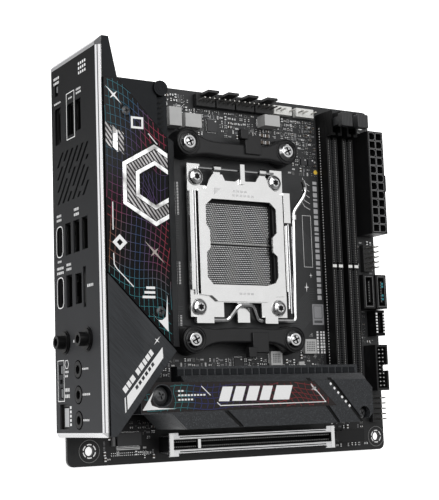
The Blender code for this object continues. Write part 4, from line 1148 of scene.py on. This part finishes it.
def make_block_capacitors():
    caps = Shape()
    for x, y in ((103.9, 148.6), (107.0, 148.6), (103.9, 152.0), (107.0, 152.0)):
        caps.paint("ceramic").block((x, y), (0.9, 0.75), (0.0, 1.3))
        caps.paint("tin").box((x - 1.2, x - 0.55), (y - 0.8, y + 0.8), (-SINK, 1.25))
        caps.box((x + 0.55, x + 1.2), (y - 0.8, y + 0.8), (-SINK, 1.25))
    caps.make("board_block_capacitors", slot="board", edge=0.06)


def make_board_print():
    """Plain silk marks: dash columns, frames, stars, strokes and mounting rings."""
    silk = Shape((-SINK, 0.05)).paint("silk")
    raised = (-SINK, 0.07)

    def dash_column(x, half, start, stop, lengths, gap):
        """Dashes of repeating lengths in a column along y."""
        y, i = start, 0
        while y + lengths[i % len(lengths)] <= stop:
            silk.box((x - half, x + half), (y, y + lengths[i % len(lengths)]))
            y += lengths[i % len(lengths)] + gap
            i += 1

    dash_column(134.7, 1.2, 73.2, 133.0, (2.1, 2.5, 1.5, 2.3, 2.4, 1.0), 0.85)
    silk.paint("white_ink").frame((126.4, 131.4), (89.1, 114.4), 0.16)
    silk.star((130.0, 85.0), 1.3, 0.9, 90)
    silk.star((127.2, 79.2), 2.4, 1.4, 90)
    for i in range(5):
        foot, lean = 117.5 + 3.0 * i, 0.5 * i
        silk.line([(126.6 + lean * 0.4, foot + 3.6), (128.2 + lean * 0.3, foot + 1.4), (131.4, foot)], 0.2)
    for x in (132.4, 134.6, 136.2):
        dash_column(x, 0.5, 47.2, 59.0, (1.0, 0.7, 1.2), 0.45)
    for start, stop in ((60.2, 65.2), (79.0, 89.4), (111.0, 126.2)):
        for x in (55.2, 56.9):
            dash_column(x, 0.45, start, stop, (0.28,), 0.42)
    silk.paint("grey_ink").box((130.0, 136.6), (61.0, 71.0))
    silk.paint("dim_ink").frame((130.9, 135.7), (64.2, 70.2), 0.3, raised)
    silk.box((130.9, 135.7), (61.9, 63.1), raised)
    silk.paint("yellow_mark").disc((135.6, 136.4), 1.1, sides=20)
    for hole in MOUNT_HOLES:
        silk.paint("tin")
        for i in range(6):
            silk.ring(hole, 3.1, 2.6, start=60 * i + 8, stop=60 * i + 52, sides=36)
        silk.paint("pad_grey").ring(hole, 4.85, 4.68, sides=72)
    silk.make("board_marks_print", slot="board")


def make_traces():
    """Faint raised copper runs that leave the memory slots and the socket in parallel slanting bundles."""
    copper = Shape((-SINK, 0.028)).paint("copper_run")
    bundles = (((37.5, 58.0), 0.0, 12, 56.0), ((116.4, 132.0), 7.0, 14, 56.5),
               ((116.4, 131.0), -9.0, 12, 99.0), ((38.0, 57.0), 8.0, 10, 92.0), ((72.0, 100.0), 6.0, 7, 37.6))
    for (x0, x1), rise, count, foot in bundles:
        bend = x0 + (x1 - x0) * 0.35
        for i in range(count):
            y = foot + 1.15 * i
            copper.line([(x0, y), (bend, y), (bend + abs(rise), y + rise), (x1, y + rise)], 0.34)
    copper.make("board_traces", slot="board")


def make_solder_points():
    """Solder joints of the through-hole connectors and a few small parts, on the board's back."""
    under = -(board_high.z - board_low.z) / MM
    tin = Shape((under - 0.7, under + SINK)).paint("tin")
    grids = (((161.8, 166.1), (107.2, 153.5), 4.2, 4.2), ((138.2, 142.0), (24.0, 152.0), 1.9, 1.9),
             ((147.7, 151.5), (24.0, 152.0), 1.9, 1.9), ((46.0, 128.6), (6.4, 8.9), 2.0, 2.0),
             ((67.8, 108.0), (164.9, 164.9), 2.54, 2.54), ((3.0, 12.0), (66.0, 154.0), 3.0, 3.4))
    for us, vs, step_u, step_v in grids:
        for x in spread(*us, step_u):
            for y in (spread(*vs, step_v) if vs[1] > vs[0] else [vs[0]]):
                tin.disc((x, y), 0.55, sides=8)
    for i in range(104):
        x, y = 20.0 + 9.0 * (i % 13), 24.0 + 16.0 * (i // 13)
        around_socket = abs(x - 86) <= 30 and abs(y - 98) <= 36
        if not around_socket and rng.random() < 0.6:
            tin.box((x, x + 1.2), (y, y + 0.5), (under - 0.35, under + SINK))
    tin.make("board_back_solder", slot="polished_steel")


make_small_parts()
make_chokes()
make_chips()
make_block_capacitors()
make_board_print()
make_traces()
make_solder_points()

# ---- processor cooler brackets --------------------------------------------------------------------
BRACKET_ENDS = (58.9, 112.9)                                   # x of the round ends
BRACKET_PARTS = 24                                             # straight parts of a bracket's waisted side
BRACKET_MIDDLE = 98.3                                          # y halfway between the two brackets
BRACKET_REACH = 45.0                                           # from there to a bracket's screws


def bracket_outline(side):
    """One bracket seen from above: a waisted bar between two round ends."""
    xa, xb = BRACKET_ENDS
    outer, inner = [], []
    for i in range(BRACKET_PARTS + 1):
        x = xa + (xb - xa) * i / BRACKET_PARTS
        near = min(x - xa, xb - x)
        outer.append((x, BRACKET_REACH + 1.6 + 4.6 * bell(near, 0, 7.0)))
        inner.append((x, BRACKET_REACH - 5.5 - 0.7 * bell(near, 0, 6.0) + 0.5 * bell(near, 11, 6.0)))
    right = arc((xb, BRACKET_REACH), 6.2, 75, -75, 10)
    left = arc((xa, BRACKET_REACH), 6.2, 255, 105, 10)
    return [(x, BRACKET_MIDDLE + side * v) for x, v in outer + right + inner[::-1] + left]


def make_bracket(name, side):
    """A bracket's bar with its seats, rings, block and hook; side is 1 above the socket and -1 below it."""
    bar = Shape().paint("black_coat").prism(bracket_outline(side), (3.4, 8.5))
    bar.make_curved(f"cooler_bracket_{name}_bar", f"cooler_bracket_{name}", 1.1)
    seats = Shape().paint("black_coat")
    block_ends = [BRACKET_MIDDLE + side * reach for reach in (41.8, 51.0)]
    hook_ends = [BRACKET_MIDDLE + side * reach for reach in (48.6, 53.2)]
    for x in BRACKET_ENDS:
        centre = (x, BRACKET_MIDDLE + side * BRACKET_REACH)
        seats.disc(centre, 6.9, (0.3, 7.2), sides=40, taper=0.12)
        seats.ring(centre, 6.1, 5.5, (8.3, 8.75), sides=40)
        seats.ring(centre, 5.0, 4.4, (8.3, 8.95), sides=40)
    seats.box((88.9, 97.6), block_ends, (4.2, 9.6))
    seats.box((86.0, 90.2), hook_ends, (7.4, 10.6))
    seats.make(f"cooler_bracket_{name}_seats", slot="black_coating", edge=0.45, smooth=True)


# ---- memory, power, expansion and data connectors ---------------------------------------------------
def make_memory_details():
    """Contacts, thin painted highlight lines along the rail edges and keys of the memory slots, and pale marks
    along the first one's foot.
    """
    contacts, highlights_and_keys = Shape(), Shape()
    top = 8.5
    for number in (1, 2):
        low, high = span(f"memory_slot_{number}")
        cx = (low.x + high.x) / 2
        for y in spread(28.4, 86.8, 0.85) + spread(91.2, 151.2, 0.85):
            for side in (-1, 1):
                contacts.paint("dim_ink").block((cx + side * 0.87, y), (0.25, 0.2), (5.0, top - 0.05))
                contacts.paint("pad_grey").block((cx + side * 2.0, y), (0.22, 0.16), (top - SINK, top + 0.04))
        # painted highlight: thin lines, lighter than the slot, along the edges of its rails
        highlights_and_keys.paint("rail_highlight")
        for offset in (-1.05, -2.95, 1.05, 2.95):
            highlights_and_keys.box((cx + offset - 0.09, cx + offset + 0.09), (27.6, 152.2), (top - 0.1, top + 0.2))
        highlights_and_keys.paint("white_plastic").box((cx - 3.0, cx - 0.72), (88.3, 89.7), (top - 0.1, top + 0.3))
        highlights_and_keys.box((cx + 0.72, cx + 3.0), (88.3, 89.7), (top - 0.1, top + 0.3))
        if number == 1:
            contacts.paint("white_ink")
            for y in spread(39.5, 158.0, 1.35):
                contacts.box((low.x - 0.04, low.x + 0.02), (y - 0.32, y + 0.32), (2.6, 3.2))
    contacts.make("memory_slot_contacts", slot="nickel_steel")
    highlights_and_keys.make("memory_slot_highlights_and_keys", slot="black_plastic")


def make_power_details():
    """Thin frames round the power socket's cells, square and cut-cornered in turn, with pins inside."""
    frames = Shape()
    top, pitch = 13.0, 4.2
    start = (105.4 + 157.0) / 2 - 5.5 * pitch
    square = [(-1.85, -1.85), (1.85, -1.85), (1.85, 1.85), (-1.85, 1.85)]
    cut = [(-1.85, -1.85), (1.0, -1.85), (1.85, -0.9), (1.85, 0.9), (1.0, 1.85), (-1.85, 1.85)]
    for column, cx in enumerate((161.8, 166.0)):
        for row in range(12):
            cy = start + pitch * row
            outline = [(cx + u, cy + v) for u, v in (cut if (row + column) % 2 else square)]
            frames.paint("frame_grey").line(outline, 0.24, (top - SINK, top + 0.06), closed=True)
            frames.paint("pad_grey").block((cx, cy), (0.5, 0.5), (2.9, 8.4), taper=0.3)
    frames.paint("black_plastic").box((168.6, 169.8), (127.0, 135.0), (6.0, 12.4))
    frames.make("power_socket_frames", slot="black_plastic")


def make_expansion_details():
    """Contacts, end clips, key and edge lines of the expansion slot."""
    contacts = Shape().paint("pad_grey")
    cy, top = 7.6, 11.1
    for x in spread(46.0, 56.4, 1.0) + spread(59.4, 128.6, 1.0):
        for side in (-1, 1):
            contacts.box((x - 0.24, x + 0.24), (cy + side * 0.88, cy + side * 1.3), (6.0, 9.96))
    contacts.paint("nickel")
    for x in (44.0, 130.4):
        contacts.block((x, cy), (0.9, 4.8), (top, top + 0.22))
    contacts.box((57.2, 58.6), (5.6, 9.6), (9.6, top))
    for side in (-1, 1):
        contacts.paint("steel_line").block((87.2, cy + side * 2.45), (41.6, 0.15), (top, top + 0.24))
        contacts.paint("deep_black").block((87.2, cy + side * 3.125), (39.2, 0.225), (top, top + 0.14))
    contacts.make("expansion_slot_contacts", slot="polished_steel")


def make_data_details():
    """Marks, contacts and pins of the drive ports and of the two headers below them."""
    marks = Shape().paint("teal_ink")
    for y in (73.4, 75.2, 79.6, 81.0):
        marks.box((166.9, 168.0), (y - 0.5, y + 0.5), (7.9, 8.1))
    marks.paint("pad_grey")
    for x in (159.3, 166.8):
        for y in spread(72.4, 81.6, 1.27):
            marks.box((x - 0.42, x - 0.1), (y - 0.25, y + 0.25), (4.0, 8.05))
    marks.paint("frame_grey")
    for x0, x1 in ((155.6, 162.0), (163.4, 169.4)):
        marks.frame((x0 + 0.9, x1 - 0.9), (69.6, 84.4), 0.2, (8.57, 8.66))
    marks.paint("tin")
    for y in spread(31.0, 48.4, 1.94):
        for x in (162.9, 165.1):
            marks.block((x, y), (0.3, 0.3), (1.5, 8.6), taper=0.2)
    marks.paint("white_ink")
    for y in spread(57.2, 66.2, 1.5):
        marks.box((163.3, 164.3), (y - 0.42, y + 0.42), (6.95, 7.12))
        marks.box((167.7, 168.6), (y - 0.42, y + 0.42), (6.95, 7.12))
    marks.make("data_port_contacts", slot="polished_steel")


make_bracket("upper", 1)
make_bracket("lower", -1)
make_memory_details()
make_power_details()
make_expansion_details()
make_data_details()

# ---- socket and heatsink details --------------------------------------------------------------------
SOCKET_SCREWS = [(x, y) for x in (64.2, 107.7) for y in (68.2, 128.25)]
SCREW_TOP = span("socket_screw_1")[1].z
BOSS, BOSS_RADIUS, BOSS_TOP = (32.6, 159.6), 3.2, 31.0         # round boss at the heatsink's corner


def make_socket_rods():
    """The lever's collar, and thin rods along the socket frame's sides."""
    collar = Shape(axis="Y").paint("chrome").disc((117.2, 5.5), 1.75, (110.6, 113.2), sides=20)
    collar.make("load_lever_collar", body="load_lever", slot="polished_steel", edge=0.15, smooth=True)
    rods = Shape(axis="Y").paint("chrome")
    for x, z, radius, y0, y1 in ((62.35, 4.5, 0.42, 74.0, 122.0), (63.55, 4.4, 0.40, 74.0, 122.0),
                                 (113.6, 4.3, 0.50, 68.0, 108.0), (115.2, 3.6, 0.42, 66.0, 121.0)):
        rods.disc((x, z), radius, (y0, y1), sides=12)
    rods.make("socket_frame_rods", slot="polished_steel", smooth=True)


def make_screw_details():
    """Washers, and painted shade as dark inlays in the recesses of the cooler, cover and socket screws."""
    washers = Shape().paint("chrome")
    # painted shade: dark crosses and stars fill the screws' driver recesses
    recess_shade = Shape().paint("deep_black")
    for centre in COOLER_SCREWS:
        washers.disc(centre, 4.4, (8.3, 9.55), sides=40, taper=0.34)
        recess_shade.cross(centre, 25, 1.7, 0.36, (9.0, 10.03))
    for number in (1, 2):
        low, high = span(f"cover_screw_{number}")
        centre = ((low.x + high.x) / 2, (low.y + high.y) / 2)
        recess_shade.cross(centre, 10, 1.0, 0.24, (high.z - 0.5, high.z + 0.012))
    washers.paint("steel_line")
    for x, y in SOCKET_SCREWS:
        washers.ring((x, y), 4.0, 3.65, (3.85, 4.3), sides=40)
        tips = [(x + r * math.cos(a), y + r * math.sin(a)) for r, a in
                [(1.75 if i % 2 else 1.05, math.tau * i / 12) for i in range(12)]]
        recess_shade.prism(tips, (SCREW_TOP - 0.8, SCREW_TOP + 0.03))
    washers.make("screw_washers", slot="polished_steel", edge=0.12, smooth=True)
    recess_shade.make("screw_recess_shade", slot="black_plastic")


def make_heatsink_details():
    """Painted shade of the slanted cuts on the power heatsink, as dark slabs on its top, and the ribbed boss
    at its corner.
    """
    top = 30.0
    # painted shade: flush dark slabs where the cuts are
    marks = Shape((top - SINK, top + 0.04)).paint("deep_black")
    for y in paced(141.8, 155.0, 2.25):
        marks.prism([(32.0, y), (34.2, y + 0.9), (34.2, y + 1.7), (32.0, y + 0.8)])
    marks.make("vrm_heatsink_cut_shade", slot="slate_aluminium")
    ribs = Shape().paint("slate_smooth")
    for centre in ring_points(BOSS, BOSS_RADIUS, 40):
        ribs.disc(centre, 0.22, (24.0, BOSS_TOP - 0.4), sides=6)
    for radius in (3.2, 2.2, 1.2):
        ribs.ring(BOSS, radius + 0.16, radius - 0.16, (BOSS_TOP - SINK, BOSS_TOP + 0.12))
    ribs.make("vrm_heatsink_boss_ribs", slot="slate_aluminium")


make_socket_rods()
make_screw_details()
make_heatsink_details()

# ---- rear shield: printed marks and port details ------------------------------------------------------
FACE_INK = (-2.76, -2.68)                                      # x of the printed marks on the shield's face
# labels beside the ports: sides along y, along z, and the number of columns
LABELS = [((164.2, 168.3), (-1.8, 4.1), 2), ((154.9, 158.0), (21.3, 26.5), 2),
          ((155.3, 156.7), (-1.4, 5.0), 1), ((154.7, 155.9), (13.4, 17.2), 1),
          ((103.5, 107.7), (17.2, 22.2), 2), ((103.6, 107.3), (-0.6, 4.2), 2),
          ((85.9, 87.5), (-0.2, 4.1), 1), ((80.8, 84.8), (-1.1, 5.4), 2), ((81.5, 85.4), (8.7, 13.6), 2),
          ((72.6, 74.7), (28.8, 34.3), 1), ((51.1, 53.0), (14.2, 18.2), 1), ((39.6, 41.0), (22.6, 28.7), 1),
          ((29.2, 30.8), (22.6, 29.6), 1), ((18.9, 20.4), (22.8, 28.4), 1), ((37.2, 40.6), (5.4, 8.8), 2),
          ((28.4, 33.6), (5.2, 9.6), 2)]


def make_shield_marks():
    """Plain dashes that stand for the port labels, frames, a field of dots and bright port outlines."""
    marks = Shape(FACE_INK, "X").paint("white_ink")
    for (y0, y1), (z0, z1), columns in LABELS:
        pitch = (y1 - y0) / columns
        for column in range(columns):
            y = y0 + pitch * (column + 0.5)
            z, i = z0, column
            while z < z1 - 0.3:
                length = (0.55, 0.35, 0.70, 0.45)[i % 4]
                marks.box((y - pitch * 0.275, y + pitch * 0.275), (z, min(z + length, z1)))
                z += length + 0.50
                i += 1
    marks.frame((137.7, 157.7), (11.3, 19.2), 0.32)
    marks.frame((27.7, 44.7), (-2.0, 4.3), 0.32)
    marks.line(ring_points((42.9, 7.1), 1.9, 6, 30), 0.3, closed=True)
    for i in range(5):
        y = 17.4 + 1.75 * i
        marks.box((y, y + 1.1), (9.7, 11.2))
    for y in spread(163.7, 167.7, 2.0):
        for z in spread(24.4, 30.4, 2.0):
            marks.block((y, z), (0.55, 0.55))
    marks.paint("steel_line")
    z0, z1 = -1.2, 5.3
    for y0, y1 in ((88.6, 101.7), (66.8, 79.8)):
        outline = [(y0 + 2.0, z0), (y1 - 2.0, z0), (y1 - 0.5, z0 + 0.8), (y1, z0 + 2.3), (y1, z1 - 2.3),
                   (y1 - 0.5, z1 - 0.8), (y1 - 2.0, z1), (y0 + 2.0, z1), (y0 + 0.5, z1 - 0.8), (y0, z1 - 2.3),
                   (y0, z0 + 2.3), (y0 + 0.5, z0 + 0.8)]
        marks.line(outline, 0.4, closed=True)
    marks.make("io_shield_marks_print", slot="white_plastic")


def make_gasket():
    """Dark foam gasket between the shield's lower edge and the board's edge."""
    foam = Shape((-4.3, -0.15)).paint("deep_black")
    for start, stop in ((15.4, 60.0), (60.3, 105.0), (105.3, 134.0), (134.3, 172.4)):
        foam.box((-1.85, -0.3), (start, stop))
    foam.make("io_shield_gasket", slot="black_plastic", edge=0.2)


def make_shield_rings():
    """Bright rings round the audio jacks, and dark nuts behind the antenna jacks."""
    rings = Shape(axis="X").paint("steel_line")
    for y, z in ((19.65, 18.4), (29.95, 18.3), (40.3, 18.2)):
        rings.ring((y, z), 2.6, 2.2, (-1.9, -1.45), sides=32)
    rings.paint("deep_black")
    for y, z in ((52.1, 6.2), (52.1, 28.0)):
        rings.ring((y, z), 5.0, 2.6, (-3.3, -2.68), sides=32)
    rings.make("audio_jack_rings", slot="black_plastic", smooth=True)


def make_optical_flap():
    """A D-shaped flap on the shutter's hinge, standing for its plain plate."""
    low, high = span("optical_shutter")
    (y0, y1), (z0, z1) = (low.y, high.y), (low.z, high.z)
    cut = 1.7
    outline = [(y0, z0), (y1, z0), (y1, z1 - cut), (y1 - 0.5 * cut, z1 - 0.35 * cut), (y1 - 1.3 * cut, z1),
               (y0 + 1.3 * cut, z1), (y0 + 0.5 * cut, z1 - 0.35 * cut), (y0, z1 - cut)]
    flap = Shape((low.x, high.x), "X").paint("smoked").prism(outline)
    flap = flap.make("optical_shutter_flap", body="optical_shutter", slot="smoked_plastic", edge=0.12)
    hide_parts("optical_shutter")


make_shield_marks()
make_gasket()
make_shield_rings()
make_optical_flap()
